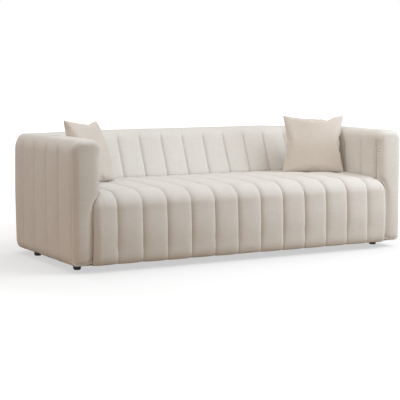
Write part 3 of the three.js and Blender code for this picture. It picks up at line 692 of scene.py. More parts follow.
@dataclass
class WallSection:
    """Upright section of the wall, from its outer hem over the top to the inside seat line."""

    band: TopBand
    hem_steps: int = 7
    side_steps: int = 62
    round_steps: int = 14
    top_steps: int = 5
    inner_steps: int = 38
    bulge: float = 0.004
    outer_run: float = 0.056
    outer_rise: float = 0.095
    hem_round: float = 0.052
    bottom: float = 0.0395
    spring: float = HEIGHT - TOP_ROUND

    def points(self) -> list[SectionPoint]:
        """Lists the outer surface's points.

        Returns:
            The points, up the outside, over the top and down the inside.
        """
        outer_spring = HEIGHT - self.outer_rise
        share = self.band.share
        points = []
        for i in range(self.hem_steps):
            a = math.pi / 2 * i / self.hem_steps
            inset = self.bulge + (WALL - 0.2 * MM - self.bulge) * (1 - math.sin(a))
            height = self.bottom + self.hem_round * (1 - math.cos(a))
            points.append(SectionPoint(Face.OUTER, inset, height, 0.0, 0.4 + 0.4 * i / self.hem_steps))
        low = self.bottom + self.hem_round
        for i in range(self.side_steps):
            t = i / self.side_steps
            height = low + (outer_spring - low) * t
            points.append(SectionPoint(Face.OUTER, self.bulge * (2 * t - 1) ** 2, height, 0.0,
                                       (0.8 + 0.2 * float(smoothstep(0.0, 0.05, t))) * share(height)))
        turns = [math.pi / 2 * i / self.round_steps for i in range(self.round_steps)]
        for a in turns:
            height = outer_spring + self.outer_rise * math.sin(a)
            inset = self.outer_run - (self.outer_run - self.bulge) * math.cos(a)
            points.append(SectionPoint(Face.OUTER, inset, height, 0.0, share(height)))
        for i in range(self.top_steps + 1):
            t = i / self.top_steps
            inset = self.outer_run + (TOP_ROUND - self.outer_run) * t
            points.append(SectionPoint(Face.TOP, inset, HEIGHT, t, (1 - t) * share(HEIGHT),
                                       t * share(HEIGHT, True)))
        for a in reversed(turns):
            height = self.spring + TOP_ROUND * math.sin(a)
            inset = TOP_ROUND - (TOP_ROUND - self.bulge) * math.cos(a)
            points.append(SectionPoint(Face.INNER, inset, height, 1.0, 0.0, share(height, True)))
        for i in range(1, self.inner_steps + 1):
            height = self.spring + (INSIDE_BOTTOM - self.spring) * i / self.inner_steps
            inset = self.bulge * float(smoothstep(SEAT_TOP, self.spring, height))
            points.append(SectionPoint(Face.INNER, inset, height, 1.0, 0.0, share(height, True)))
        return points

    def lining(self) -> tuple[list[SectionPoint], list[int]]:
        """Lists the inner surface's points, and each one's column outside.

        Returns:
            The points, and each one's column outside.
        """
        rounds = self.hem_steps + self.side_steps
        top = rounds + self.round_steps
        inner = top + self.top_steps + 1
        outer_heights = (0.0412, 0.2, 0.42, self.spring)
        inner_heights = (self.spring, SEAT_TOP, INSIDE_BOTTOM + 0.0005)
        points = [*(SectionPoint(Face.OUTER, WALL, height, 0.0) for height in outer_heights),
                  *(SectionPoint(Face.TOP, TOP_ROUND, HEIGHT - WALL, across) for across in (0.0, 1.0)),
                  *(SectionPoint(Face.INNER, WALL, height, 1.0) for height in inner_heights)]
        columns = [0, self.hem_steps + 14, self.hem_steps + 36, rounds, top, inner - 1,
                   inner + self.round_steps, inner + self.round_steps + 20,
                   inner + self.round_steps + self.inner_steps - 1]
        return points, columns


@dataclass
class WallLine:
    """Where the wall's two faces run, seen from above, with each row's place among the seams."""

    outer_at: Array
    outer_into: Array
    outer_place: Array
    inner_place: Array
    outer_channels: Channels
    inner_channels: Channels
    smooth_hem: ClassVar[float] = 0.05
    droop_from: ClassVar[float] = 0.52

    def inner(self, height: float) -> tuple[Array, Array]:
        """Gives the inner face's points and the way into the wall at a height."""
        raise NotImplementedError

    def base(self, section: Sequence[SectionPoint]) -> Array:
        """Places section points on the line, without channels, as a grid with one row for each station.

        Args:
            section: The section's points.

        Returns:
            The grid.
        """
        grid = np.zeros((len(self.outer_place), len(section), 3))
        for j, point in enumerate(section):
            at, into = self.inner(point.height)
            outer = self.outer_at + self.outer_into * point.inset
            inner = at + into * point.inset
            across = {Face.OUTER: 0.0, Face.INNER: 1.0}.get(point.face, point.across)
            grid[:, j, :2] = outer * (1 - across) + inner * across
            grid[:, j, 2] = point.height
        return grid

    def surface(self, section: WallSection) -> Array:
        """Places the section on the line with its channels, gathers and slight unevenness.

        Args:
            section: The upright section.

        Returns:
            A grid with one row for each station.
        """
        points = section.points()
        grid = self.base(points)
        normals = surface_normals(grid)
        middle = section.hem_steps + section.side_steps // 2
        outward = np.einsum("ij,ij->i", normals[:, middle, :2], -self.outer_into)
        normals *= np.sign(outward)[:, None, None]
        run = running_length(grid[len(grid) // 2])
        outer_share = np.array([point.outer for point in points])[None, :]
        inner_share = np.array([point.inner for point in points])[None, :]
        fall = self.outer_channels.fall(self.outer_place, outer_share, run)
        fall += self.inner_channels.fall(self.inner_place, inner_share, run)
        fall += self.end_fall(np.array([point.height for point in points]))
        wave = smoothstep(0.0, self.smooth_hem, run)[None, :] * uneven(grid, WALL_WAVES)
        result = grid - normals * (fall + wave)[..., None]
        result[..., 2] -= self.droop()[:, None] * smoothstep(self.droop_from, HEIGHT, grid[..., 2])
        return result

    def end_fall(self, heights: Array) -> Array:
        """How far the cloth turns in at the run's ends, for each station and row."""
        return np.zeros((len(self.outer_place), len(heights)))

    def droop(self) -> Array:
        """How far the top hangs below the wall's height at each station."""
        return np.zeros(len(self.outer_place))


@dataclass
class ArmLine(WallLine):
    """An arm's straight run."""

    side: int = 1
    turn_reach: float = 0.020
    turn_depth: float = 0.009
    top_turn_depth: float = 0.002

    def inner(self, height: float) -> tuple[Array, Array]:
        """Gives the upright inner face of the arm.

        Args:
            height: Metres above the floor.

        Returns:
            The face's points, and the way into the wall at each.
        """
        at = self.outer_at.copy()
        at[:, 0] = self.side * ARM_INNER_X
        return at, -self.outer_into

    def end_fall(self, heights: Array) -> Array:
        """Turns the cloth in towards the front panel's seam, less over the top.

        Args:
            heights: Height of each section point.

        Returns:
            Metres for each station and section point.
        """
        near = np.clip(1 - (self.outer_place - ARM_START_Y) / self.turn_reach, 0.0, 1.0)
        turn = 1 - np.sqrt(1 - 0.98 * near**2)
        depth = self.turn_depth + (self.top_turn_depth - self.turn_depth) * smoothstep(0.64, 0.70, heights)
        return turn[:, None] * depth[None, :]


def arm_line(side: int) -> ArmLine:
    """Makes the line of one arm, with its outer and inner seams set apart.

    Args:
        side: -1 for the left arm, 1 for the right.

    Returns:
        The line.
    """
    outer_seams = (ARM_START_Y, -0.237, -0.063, CORNER_START_Y)
    inner_seams = (ARM_START_Y, -0.273, -0.090, CORNER_START_Y)
    ys = crowded(ARM_START_Y, CORNER_START_Y, [*outer_seams, *inner_seams], 0.010,
                 (0.0015, 0.004, 0.008, 0.014, 0.020))
    at = np.stack([np.full(len(ys), side * HALF_WIDTH), ys], axis=1)
    into = np.tile([-float(side), 0.0], (len(ys), 1))
    outer = Channels(outer_seams, tuple(np.diff(outer_seams)), SHALLOW_CHANNEL)
    inner = Channels(inner_seams, tuple(np.diff(inner_seams)), SHALLOW_CHANNEL)
    return ArmLine(at, into, ys, ys, outer, inner, side)


# The back: eight straight channels, and at each end a corner of five outer channels. The elliptic inner
# corner takes up CORNER_TURN of the corner's run, and its deep seam lies at FOLD_PLACE, in outer channels, with
# a fold FOLD_AWAY from it on either side, as shares of the corner. The top hangs lowest at DROOP_PLACE.
BACK_PITCH = 0.1485
STRAIGHT_HALF = 4 * BACK_PITCH
CORNER_RADIUS = 0.100
CORNER_WIDTH = 0.240
CORNER_CHANNELS = 5
CORNER_TURN = CORNER_WIDTH / (ARM_INNER_X - STRAIGHT_HALF)
CORNER_FIRST_SEAM = 0.185
FOLD_PLACE = 3.06
FOLD_DEPTH = 0.014
FOLD_AWAY = 0.19
FOLD_REACH = 0.09
INNER_CORNER_CHANNEL = 0.23
DROOP_PLACE = 2.4
DROOP_DEPTH = 0.008


def corner_fold(share: Array) -> Array:
    """Metres into the wall, never above zero, at a share of a corner: the cloth stands out beside its seam."""
    away = np.abs(share - FOLD_PLACE / CORNER_CHANNELS)
    return -FOLD_DEPTH * np.exp(-((away - FOLD_AWAY) / FOLD_REACH) ** 2)


@dataclass
class BackLine(WallLine):
    """The back's run: from the left arm round a corner, along the back and round to the right arm.

    A place is counted in outer channels: 0 to 5 round the left corner, then the straight back, then 5 more.
    """

    place: Array = field(default_factory=lambda: np.zeros(0))
    side: Array = field(default_factory=lambda: np.zeros(0))
    corner_share: Array = field(default_factory=lambda: np.zeros(0))
    straight_x: Array = field(default_factory=lambda: np.zeros(0))

    def inner(self, height: float) -> tuple[Array, Array]:
        """Gives the raked inner face, with an elliptic corner at each end.

        Args:
            height: Metres above the floor.

        Returns:
            The face's points, and the way into the wall at each.
        """
        rise = min(max((height - SEAT_TOP) / (HEIGHT - SEAT_TOP), 0.0), 1.0)
        face_y = BACK_Y - (BACK_LOW_DEPTH + (BACK_TOP_DEPTH - BACK_LOW_DEPTH) * rise)
        reach = face_y - CORNER_START_Y
        straight = ARM_INNER_X - CORNER_WIDTH - STRAIGHT_HALF
        turn = CORNER_TURN
        angle = np.clip(self.corner_share / turn, 0.0, 1.0) * math.pi / 2
        x = ARM_INNER_X - CORNER_WIDTH + CORNER_WIDTH * np.cos(angle)
        y = CORNER_START_Y + reach * np.sin(angle)
        past = self.corner_share >= turn
        x = np.where(past, STRAIGHT_HALF + straight * (1 - self.corner_share) / (1 - turn), x)
        out = np.stack([np.cos(angle) / CORNER_WIDTH, np.sin(angle) / reach], axis=1)
        out /= np.linalg.norm(out, axis=1, keepdims=True)
        in_corner = self.side != 0
        at = np.stack([np.where(in_corner, self.side * x, self.straight_x),
                       np.where(in_corner, np.where(past, face_y, y), face_y)], axis=1)
        into = np.stack([np.where(in_corner & ~past, self.side * out[:, 0], 0.0),
                         np.where(in_corner & ~past, out[:, 1], 1.0)], axis=1)
        left = 1 - smoothstep(0.655, 0.712, height)
        fold = np.where(in_corner, corner_fold(self.corner_share), 0.0) * left
        return at + into * fold[:, None], into

    def droop(self) -> Array:
        """Lowers the top a little round each corner.

        Returns:
            Metres for each station.
        """
        from_left = np.abs(self.place - DROOP_PLACE)
        from_right = np.abs(self.place[-1] - self.place - DROOP_PLACE)
        return DROOP_DEPTH * (1 - smoothstep(0.3, 2.6, np.minimum(from_left, from_right)))


def back_line() -> BackLine:
    """Makes the line of the back and both of its corners.

    Returns:
        The line.
    """
    along_arm = BACK_Y - CORNER_RADIUS - CORNER_START_Y
    turn = CORNER_RADIUS * math.pi / 2
    along_back = HALF_WIDTH - CORNER_RADIUS - STRAIGHT_HALF
    total = along_arm + turn + along_back
    seams = [0.0, CORNER_FIRST_SEAM, along_arm + turn / 2, total - 2 * BACK_PITCH, total - BACK_PITCH, total]
    last = 2 * CORNER_CHANNELS + 8
    inner_seams = [0.0, FOLD_PLACE, *range(5, 14), last - FOLD_PLACE, float(last)]
    place = crowded(0.0, float(last), [*range(last + 1), *inner_seams], 1 / 15,
                    (0.010, 0.026, 0.05, 0.09))
    side = np.where(place < 5, -1, np.where(place > 13, 1, 0))
    channel = np.where(side > 0, last - place, place)
    corner_share = np.clip(channel / CORNER_CHANNELS, 0.0, 1.0)
    way = np.interp(channel, range(6), seams)
    angle = np.clip((way - along_arm) / CORNER_RADIUS, 0.0, math.pi / 2)
    x = HALF_WIDTH - CORNER_RADIUS + CORNER_RADIUS * np.cos(angle) - np.clip(way - along_arm - turn, 0, None)
    y = np.where(way <= along_arm, CORNER_START_Y + way, BACK_Y - CORNER_RADIUS * (1 - np.sin(angle)))
    straight_x = (place - 9) * BACK_PITCH
    corner = side != 0
    outer_at = np.stack([np.where(corner, side * x, straight_x), np.where(corner, y, BACK_Y)], axis=1)
    outer_into = np.stack([np.where(corner, -side * np.cos(angle), 0.0),
                           np.where(corner, -np.sin(angle), -1.0)], axis=1)
    widths = np.diff(seams).tolist()
    outer_widths = (*widths, *[BACK_PITCH] * 8, *widths[::-1])
    inner_widths = (INNER_CORNER_CHANNEL, *[BACK_PITCH] * 10, INNER_CORNER_CHANNEL)
    outer = Channels(tuple(map(float, range(last + 1))), outer_widths, SHALLOW_CHANNEL)
    inner = Channels(tuple(map(float, inner_seams)), inner_widths)
    return BackLine(outer_at, outer_into, place, place, outer, inner, place, side, corner_share, straight_x)


@dataclass
class Walls:
    """The upholstered arms and back."""

    finishes: Finishes
    row_step: int = 6

    def shell(self, name: str, line: WallLine, section: WallSection) -> Object:
        """Builds one closed cover on its line.

        Args:
            name: The piece's name.
            line: The line that it follows.
            section: Its upright section.

        Returns:
            The cover.
        """
        outside = line.surface(section)
        lining, columns = section.lining()
        rows = sorted({*range(0, len(outside), self.row_step), len(outside) - 1})
        inside = line.base(lining)[rows]
        return shell_piece(name, outside, inside, rows, columns, cloth_uv(outside))

    def build(self) -> list[Object]:
        """Makes the two arms and the back, and says what they stand for.

        Returns:
            The three covers.
        """
        covers = [("arm_upholstery_left", "arm_cover_left", arm_line(-1), TopBand.SMOOTH),
                  ("arm_upholstery_right", "arm_cover_right", arm_line(1), TopBand.SMOOTH),
                  ("back_upholstery", "back_cover", back_line(), TopBand.CHANNELLED)]
        pieces = []
        for name, node, line, band in covers:
            piece = self.shell(name, line, WallSection(band))
            pieces.append(self.finishes.dress(piece, "upholstery", "sofa", node, fill=0.8))
        return pieces


# Seat


@dataclass
class Seat:
    """Tight bench seat: a front border that rolls over into a crowned deck, with a wing over each arm."""

    finishes: Finishes
    deck_half: float = ARM_INNER_X - FIT
    front_half: float = 0.972
    last_seam: float = 0.832
    middle_channels: int = 11
    skirt: float = 0.0644
    springing: float = 0.350
    waterfall_reach: float = 0.130
    waterfall_rise: float = 0.090
    crown: float = 0.008
    end_round: float = 0.036
    deck_round: float = 0.012
    wing_angle: float = math.radians(55)
    wing_drop: float = 0.8
    front_bulge: float = 0.010
    bulge_height: float = 0.205
    bulge_reach: float = 0.115
    hem_low: float = 0.0385
    hem_round: float = 0.056
    hem_depth: float = 0.024
    smooth_hem: float = 0.04
    under_depth: float = 0.030
    lining_lift: float = 0.006
    rear_round: float = 0.0165
    lining_rear_round: float = 0.002
    rear_drop: float = 0.025
    rear_gap: float = 0.0015
    row_step: float = 0.010
    beside_seam: tuple[float, ...] = (0.0015, 0.004, 0.008, 0.014)
    lining_stops: tuple[int, ...] = (0, 3, 10, 24, 40, 49, 56, 62, 76, 90, 104, 118, 123, 125)

    def rear_depth(self, across: Array) -> Array:
        """Depth of the deck from the front at a distance from the middle, round the back's inner corners.

        Args:
            across: Distances from the middle.

        Returns:
            Metres behind the front.
        """
        past = np.clip((across - (ARM_INNER_X - CORNER_WIDTH)) / CORNER_WIDTH, 0.0, 1.0)
        face = CORNER_START_Y + (BACK_Y - BACK_LOW_DEPTH - CORNER_START_Y) * np.sqrt(1 - past**2)
        along = CORNER_TURN * np.arccos(past) * 2 / math.pi
        flat = 1 - (across - STRAIGHT_HALF) / (ARM_INNER_X - STRAIGHT_HALF)
        fold = corner_fold(np.where(past > 0, along, np.clip(flat, None, 1.0)))
        return face + fold - self.rear_gap - FRONT_Y

    def wing_left(self, across: Array) -> Array:
        """Share of a wing's height that is left at a distance from the middle."""
        lap = np.clip((across - self.deck_half) / (self.front_half - self.deck_half), 0.0, 1.0)
        return 1 - self.wing_drop * (1 - np.sqrt(1 - lap**2))

    def wing_top(self, across: Array) -> Array:
        """Height of a wing's top edge."""
        rise = self.waterfall_rise * math.sin(self.wing_angle)
        return self.springing + rise * self.wing_left(across)

    def set_back(self, height: Array | float) -> Array:
        """How far the front lies behind its fullest line at a height."""
        away = (np.asarray(height) - self.bulge_height) / self.bulge_reach
        return self.front_bulge * (1 - np.exp(-away**2))

    def columns(self) -> list[tuple[str, float]]:
        """Lists the section's parts with a share along each, from under the front to the back of the deck.

        Returns:
            The parts and shares.
        """
        parts = [("under", 3), ("hem", 7), ("front", 30), ("wing", 9), ("roll", 13), ("deck", 56),
                 ("rear", 5)]
        columns = [(part, i / count) for part, count in parts for i in range(count)]
        return [*columns, ("drop", 0.0), ("drop", 0.5), ("drop", 1.0)]

    def base(self, places: Array, columns: Sequence[tuple[str, float]], inset: float) -> Array:
        """Lays the plain seat, without channels.

        Args:
            places: Distances from the middle, left negative.
            columns: Parts of the section with a share along each.
            inset: How far inside the outline the surface lies.

        Returns:
            A grid of points, one row for each place.
        """
        across = np.abs(places)
        reach = self.waterfall_reach - inset
        rise = self.waterfall_rise - inset
        rear = self.rear_depth(across) - inset
        top = SEAT_TOP - inset
        in_wing = across > self.deck_half + FIT / 2
        left = self.wing_left(across)
        wing_top = self.springing + (rise * math.sin(self.wing_angle)) * left
        start_depth = self.waterfall_reach - reach * math.cos(self.wing_angle)
        depth = np.zeros((len(places), len(columns)))
        height = np.zeros_like(depth)
        for j, (part, t) in enumerate(columns):
            after = None
            if part == "under":
                d = self.skirt + (inset + self.under_depth - self.skirt) * t
                z = self.hem_low + (self.lining_lift if inset else 0.0)
            elif part == "hem":
                a = math.pi / 2 * t
                z = self.hem_low + self.hem_round * (1 - math.cos(a))
                d = inset + self.set_back(z) + self.hem_depth * (1 - math.sin(a))
            elif part == "front":
                z = self.hem_low + self.hem_round + (self.springing - self.hem_low - self.hem_round) * t
                d = inset + self.set_back(z)
            elif part in ("wing", "roll"):
                a = self.wing_angle * t
                if part == "roll":
                    a = self.wing_angle + (math.pi / 2 - self.wing_angle) * t
                d, z = self.waterfall_reach - reach * math.cos(a), self.springing + rise * math.sin(a)
                d += self.set_back(z) * math.cos(a) ** 2
                if part == "wing":
                    z = self.springing + (z - self.springing) * np.where(in_wing, left, 1.0)
                else:
                    after = (start_depth + (self.skirt - start_depth) * t, wing_top)
            else:
                round_depth = self.lining_rear_round if inset else self.rear_round
                low = top - self.crown - self.rear_drop
                if part == "deck":
                    d = self.waterfall_reach + (rear - round_depth - self.waterfall_reach) * t
                    z = top - self.crown + self.crown * math.sin(math.pi * t)
                elif part == "rear":
                    a = math.pi / 2 * t
                    d, z = rear - round_depth * (1 - math.sin(a)), low + self.rear_drop * math.cos(a)
                else:
                    d, z = rear, low + (INSIDE_BOTTOM - low) * t
                after = (self.skirt, wing_top)
            if after is not None:
                d, z = np.where(in_wing, after[0], d), np.where(in_wing, after[1], z)
            depth[:, j], height[:, j] = d, z
        end_inset = np.where(in_wing, inset, np.clip(across - self.deck_half + inset, 0, inset))
        x = np.sign(places) * (across - end_inset)
        return np.stack([np.broadcast_to(x[:, None], depth.shape), FRONT_Y + depth, height], axis=-1)

    def channels(self) -> Channels:
        """The seat's channels: eleven even ones and a wider one at each end.

        Returns:
            The channels.
        """
        inner = np.linspace(-self.last_seam, self.last_seam, self.middle_channels + 1)
        seams = (-2 * self.front_half + self.last_seam, *inner, 2 * self.front_half - self.last_seam)
        return Channels(tuple(seams), tuple(np.diff(seams)))

    def surface(self, places: Array, columns: Sequence[tuple[str, float]]) -> Array:
        """Lays the seat with its channels, rounded ends, gathers and slight unevenness.

        Args:
            places: Distances from the middle, left negative.
            columns: Parts of the section with a share along each.

        Returns:
            A grid of points, one row for each place.
        """
        grid = self.base(places, columns, 0.0)
        normals = surface_normals(grid)
        front = next(j for j, (part, t) in enumerate(columns) if part == "front" and t > 0.4)
        normals *= -np.sign(normals[:, front, 1])[:, None, None]
        across = np.abs(places)
        kind = np.array([part for part, _ in columns])
        share = np.array([t for _, t in columns])
        channel_share = np.select(
            [kind == "under", kind == "hem", kind == "front", kind == "wing", kind == "roll", kind == "deck"],
            [0.1 + 0.1 * share, 0.2 + 0.4 * share, np.minimum(0.6 + 2 * share, 1.0), 1.0, 1 - 0.15 * share,
             0.85 - 0.35 * share], 0.4)
        run = running_length(grid[len(grid) // 2])
        fall = self.channels().fall(places, channel_share[None, :], run)
        fall[across > self.deck_half, :] *= np.isin(kind, ["under", "hem", "front", "wing"])[None, :]
        upper = np.select([kind == "wing", kind == "roll"], [0.0, smoothstep(0.35, 1.0, share)],
                          np.isin(kind, ["deck", "rear", "drop"]).astype(float))
        ended = np.clip((across - (self.deck_half - self.deck_round)) / self.deck_round, 0.0, 1.0)
        deck_end = self.deck_round * (1 - np.sqrt(1 - ended**2))
        deck_end[across > self.deck_half + FIT / 2] = 0.0
        ended = np.clip((across - (self.front_half - self.end_round)) / self.end_round, 0.0, 1.0)
        front_end = self.end_round * (1 - np.sqrt(1 - ended**2))
        lower = np.isin(kind, ["hem", "front", "wing"]).astype(float)
        wave = uneven(grid, SEAT_WAVES) * smoothstep(0.0, self.smooth_hem, run)[None, :]
        wave *= np.maximum(np.isin(kind, ["hem", "front"])[None, :], (across < self.deck_half)[:, None])
        grid -= normals * (fall + wave + deck_end[:, None] * upper[None, :])[..., None]
        grid[..., 1] += front_end[:, None] * lower[None, :]
        return grid

    def places(self) -> Array:
        """Rows along the seat, closer together beside each seam and round each end.

        Returns:
            Distances from the middle, left negative.
        """
        seams = np.linspace(-self.last_seam, self.last_seam, self.middle_channels + 1)
        deck = crowded(-self.deck_half, self.deck_half, list(seams), self.row_step, self.beside_seam)
        turns = self.deck_round * (1 - np.cos(np.linspace(0.25, 1.5, 6)))
        ends = [self.deck_half - turn for turn in turns]
        wing = [self.deck_half + FIT, *np.linspace(self.deck_half + 0.005, 0.932, 4),
                *(self.front_half - self.end_round * (1 - np.sin(np.linspace(0.1, math.pi / 2, 12))))]
        middle = [p for p in deck if abs(p) < ends[-1] - 0.001]
        half = sorted({*ends, self.deck_half, *wing})
        return np.array(sorted({*middle, *half, *(-h for h in half)}))

    def build(self) -> Object:
        """Makes the seat's cover and says what it stands for.

        Returns:
            The cover.
        """
        columns = self.columns()
        places = self.places()
        outside = self.surface(places, columns)
        lining = [columns[i] for i in self.lining_stops]
        keep = {0, len(places) - 1, *range(0, len(places), 6)}
        keep |= {i for i, p in enumerate(places) if abs(abs(p) - self.deck_half) < 2 * FIT}
        rows = sorted(keep)
        inside = self.base(places[rows], lining, WALL)
        cover = shell_piece("seat_upholstery", outside, inside, rows, self.lining_stops, cloth_uv(outside))
        return self.finishes.dress(cover, "upholstery", "sofa", "seat_cover", fill=0.9)


# Front panels of the arms


class PadSide(Enum):
    """How each side of a pad turns back: its seam, its rim, and the roll's inset and depth."""

    OUTER = (((0.0445, 0.0150), (0.0425, 0.0095), (0.0390, 0.0055), (0.0345, 0.0035)), (0.0290, 0.0030),
             0.036, 0.029)
    INNER = (((0.0445, 0.0225), (0.0425, 0.0180), (0.0390, 0.0150), (0.0345, 0.0135)), (0.0290, 0.0130),
             0.045, 0.029)
    TOP = (((0.0445, 0.0024), (0.0437, 0.0014), (0.0424, 0.0009), (0.0405, 0.0008)), (0.0380, 0.0011),
           0.030, 0.036)


@dataclass
class ArmFront:
    """Puffed pad on the front of an arm, cut round the seat's wing."""

    finishes: Finishes
    seat: Seat
    side: int
    label: str
    corner: float = 0.062
    low_corner: float = 0.024
    bottom: float = 0.038
    middle: float = 0.0865
    crown: float = 0.012
    arc_steps: int = 12
    edge_step: float = 0.0045
    level_side: float = 0.1
    roll_steps: int = 16
    top_band: tuple[float, float] = (0.63, 0.70)
    inner_band: tuple[float, float] = (1.03, 0.96)
    face_reach: float = 0.03
    gather: float = 0.0030
    gather_pitch: float = 0.0185
    gather_start: float = 0.552
    gather_low: tuple[float, float] = (0.548, 0.562)
    gather_high: tuple[float, float] = (0.630, 0.644)
    gather_clear: float = 0.012
    gather_reach: float = 0.026
    wave: tuple[float, float] = (0.0012, 0.10)
    press: float = 0.012
    low_press: float = 0.005
    press_reach: float = 0.014
    low_press_reach: float = 0.015
    low_press_fade: tuple[float, float] = (0.26, 0.40)
    tuck: float = 0.014
    tuck_height: float = 0.20
    tuck_reach: float = 0.16
    wing_room: float = 0.0012
    wing_start: float = 0.880
    wing_past: float = 0.0015
    wing_rows: int = 24
    wing_steps: int = 12

    def outline(self, inset: float) -> Array:
        """Rounded outline of the pad, inset from its edge, as x away from the middle and height.

        Args:
            inset: Metres in from the edge.

        Returns:
            The outline's points.
        """
        low, high = self.bottom + inset, HEIGHT - inset
        left, right = ARM_INNER_X + inset, HALF_WIDTH - inset
        arcs = []
        for x, z, side_x, side_z, radius, start in (
                (right, low, -1, 1, self.low_corner, -0.5), (right, high, -1, -1, self.corner, 0.0),
                (left, high, 1, -1, self.corner, 0.5), (left, low, 1, 1, self.low_corner, 1.0)):
            r = max(radius - inset, 0.004)
            angles = math.pi * (start + np.arange(self.arc_steps + 1) / self.arc_steps / 2)
            arc = [x + r * (side_x + np.cos(angles)), z + r * (side_z + np.sin(angles))]
            arcs.append(np.stack(arc, axis=1))
        points = []
        for arc, following, count in zip(arcs, arcs[1:] + arcs[:1], self.side_counts() * 2):
            share = np.arange(1, count)[:, None] / count
            points += [arc, arc[-1] + (following[0] - arc[-1]) * share]
        return np.concatenate(points)

    def side_counts(self) -> list[int]:
        """How many steps the pad's upright and level sides have."""
        return [round((HEIGHT - self.bottom) / self.edge_step), round(self.level_side / self.edge_step)]

    def profile(self, side: PadSide) -> list[tuple[float, float]]:
        """Lists depth behind the front and inset from the edge, from the back seam to the middle.

        Args:
            side: The pad's side.

        Returns:
            Depth and inset of each ring.
        """
        seam, rim, roll_inset, roll_depth = side.value
        steep = math.asin(min(max(1 - rim[0] / roll_depth, 0.0), 1.0))
        rows = [*seam, rim]
        for i in range(1, self.roll_steps + 1):
            a = steep + (math.pi / 2 - steep) * i / self.roll_steps
            inset = rim[1] + roll_inset * (math.cos(steep) - math.cos(a))
            rows.append((roll_depth * (1 - math.sin(a)), inset))
        last = rows[-1][1]
        return [*rows, *((0.0, last + (self.middle - last) * t) for t in (0.2, 0.4, 0.6, 0.8, 1.0))]

    def build(self) -> Object:
        """Makes the pad and says what it stands for.

        Returns:
            The pad.
        """
        rings = []
        for outer, inner, top in zip(*(self.profile(side) for side in PadSide)):
            rows = [(*row, self.outline(row[1])) for row in (outer, inner, top)]
            over = smoothstep(*self.top_band, rows[0][2][:, 1])
            inside = smoothstep(*self.inner_band, rows[0][2][:, 0]) * (1 - over)
            shares = (1 - over - inside, inside, over)
            ring = sum(share[:, None] * row[2] for share, row in zip(shares, rows))
            depths = sum(share * row[0] for share, row in zip(shares, rows))
            rings.append(np.stack([self.side * ring[:, 0], PANEL_FRONT_Y + depths, ring[:, 1]], axis=1))
        grid = np.array(rings)
        lift = smoothstep(0.0, self.face_reach, PANEL_FRONT_Y + self.face_reach - grid[..., 1])
        grid[..., 1] += lift * uneven(grid, [(*self.wave, 8 + self.side)])
        tucked = self.tuck * np.clip((self.tuck_height - grid[..., 2]) / self.tuck_reach, 0.0, 1.0) ** 2
        grid[..., 1] += lift * (self.pressed(grid) + tucked + self.crown * self.from_middle(grid) ** 2)
        if self.side > 0:
            grid[..., 0] += self.gathered(grid)
        number = np.arange(grid[..., 0].size).reshape(grid.shape[:2])
        faces = [*four_sided(number, closed=True), list(number[0]), *self.filled(number[-1])]
        points = grid.reshape(-1, 3)
        pad = mesh_piece(f"arm_front_pad_{self.label}", points, faces, points[:, [0, 2]])
        self.cut_wing(pad)
        return self.finishes.dress(pad, "upholstery", "sofa", f"arm_front_panel_{self.label}", fill=0.8)

    def filled(self, ring: Array) -> list[list[int]]:
        """Closes the innermost ring with short faces from one upright side to the other.

        Args:
            ring: The ring's point numbers.

        Returns:
            The faces.
        """
        first = self.arc_steps
        tall, across = self.side_counts()
        up = list(range(first, first + tall + 1))
        start = first + tall + 2 * self.arc_steps + across
        down = [(start + i) % len(ring) for i in range(tall + 1)]
        faces = [[ring[up[i]], ring[up[i + 1]], ring[down[-2 - i]], ring[down[-1 - i]]] for i in range(tall)]
        top = [ring[i % len(ring)] for i in range(up[-1], start + 1)]
        low = [ring[i % len(ring)] for i in range(start + tall, len(ring) + up[0] + 1)]
        return [*faces, top, low]

    def gathered(self, grid: Array) -> Array:
        """Small level gathers beside the inner seam, below the top of the arm.

        Args:
            grid: The pad's points.

        Returns:
            Metres sideways for each point.
        """
        height = grid[..., 2]
        band = smoothstep(*self.gather_low, height) * (1 - smoothstep(*self.gather_high, height))
        from_seam = np.hypot(np.abs(grid[..., 0]) - ARM_INNER_X, grid[..., 1] - WRAP_START_Y)
        near = np.exp(-(np.clip(from_seam - self.gather_clear, 0, None) / self.gather_reach) ** 2)
        return self.gather * band * near * np.cos(2 * math.pi * (height - self.gather_start) / self.gather_pitch)

    def from_middle(self, grid: Array) -> Array:
        """Share of the way from the pad's upright middle line to its sides."""
        return (np.abs(grid[..., 0]) - (ARM_INNER_X + HALF_WIDTH) / 2) / ((HALF_WIDTH - ARM_INNER_X) / 2)

    def pressed(self, grid: Array) -> Array:
        """How far the seat's wing presses the pad back beside it, wider low down.

        Args:
            grid: The pad's points.

        Returns:
            Metres for each point.
        """
        seat = self.seat
        lap = seat.front_half - seat.deck_half
        rise = seat.waterfall_rise * math.sin(seat.wing_angle)
        u = np.clip(np.abs(grid[..., 0]) - seat.deck_half, 0, None) / lap
        v = np.clip(grid[..., 2] - seat.springing, 0, None) / rise
        away = np.clip(np.hypot(u, v) - 1, 0, None) * lap
        low = 1 - smoothstep(*self.low_press_fade, grid[..., 2])
        reach = self.press_reach + self.low_press_reach * low
        return (self.press + self.low_press * low) * np.exp(-(away / reach) ** 2)

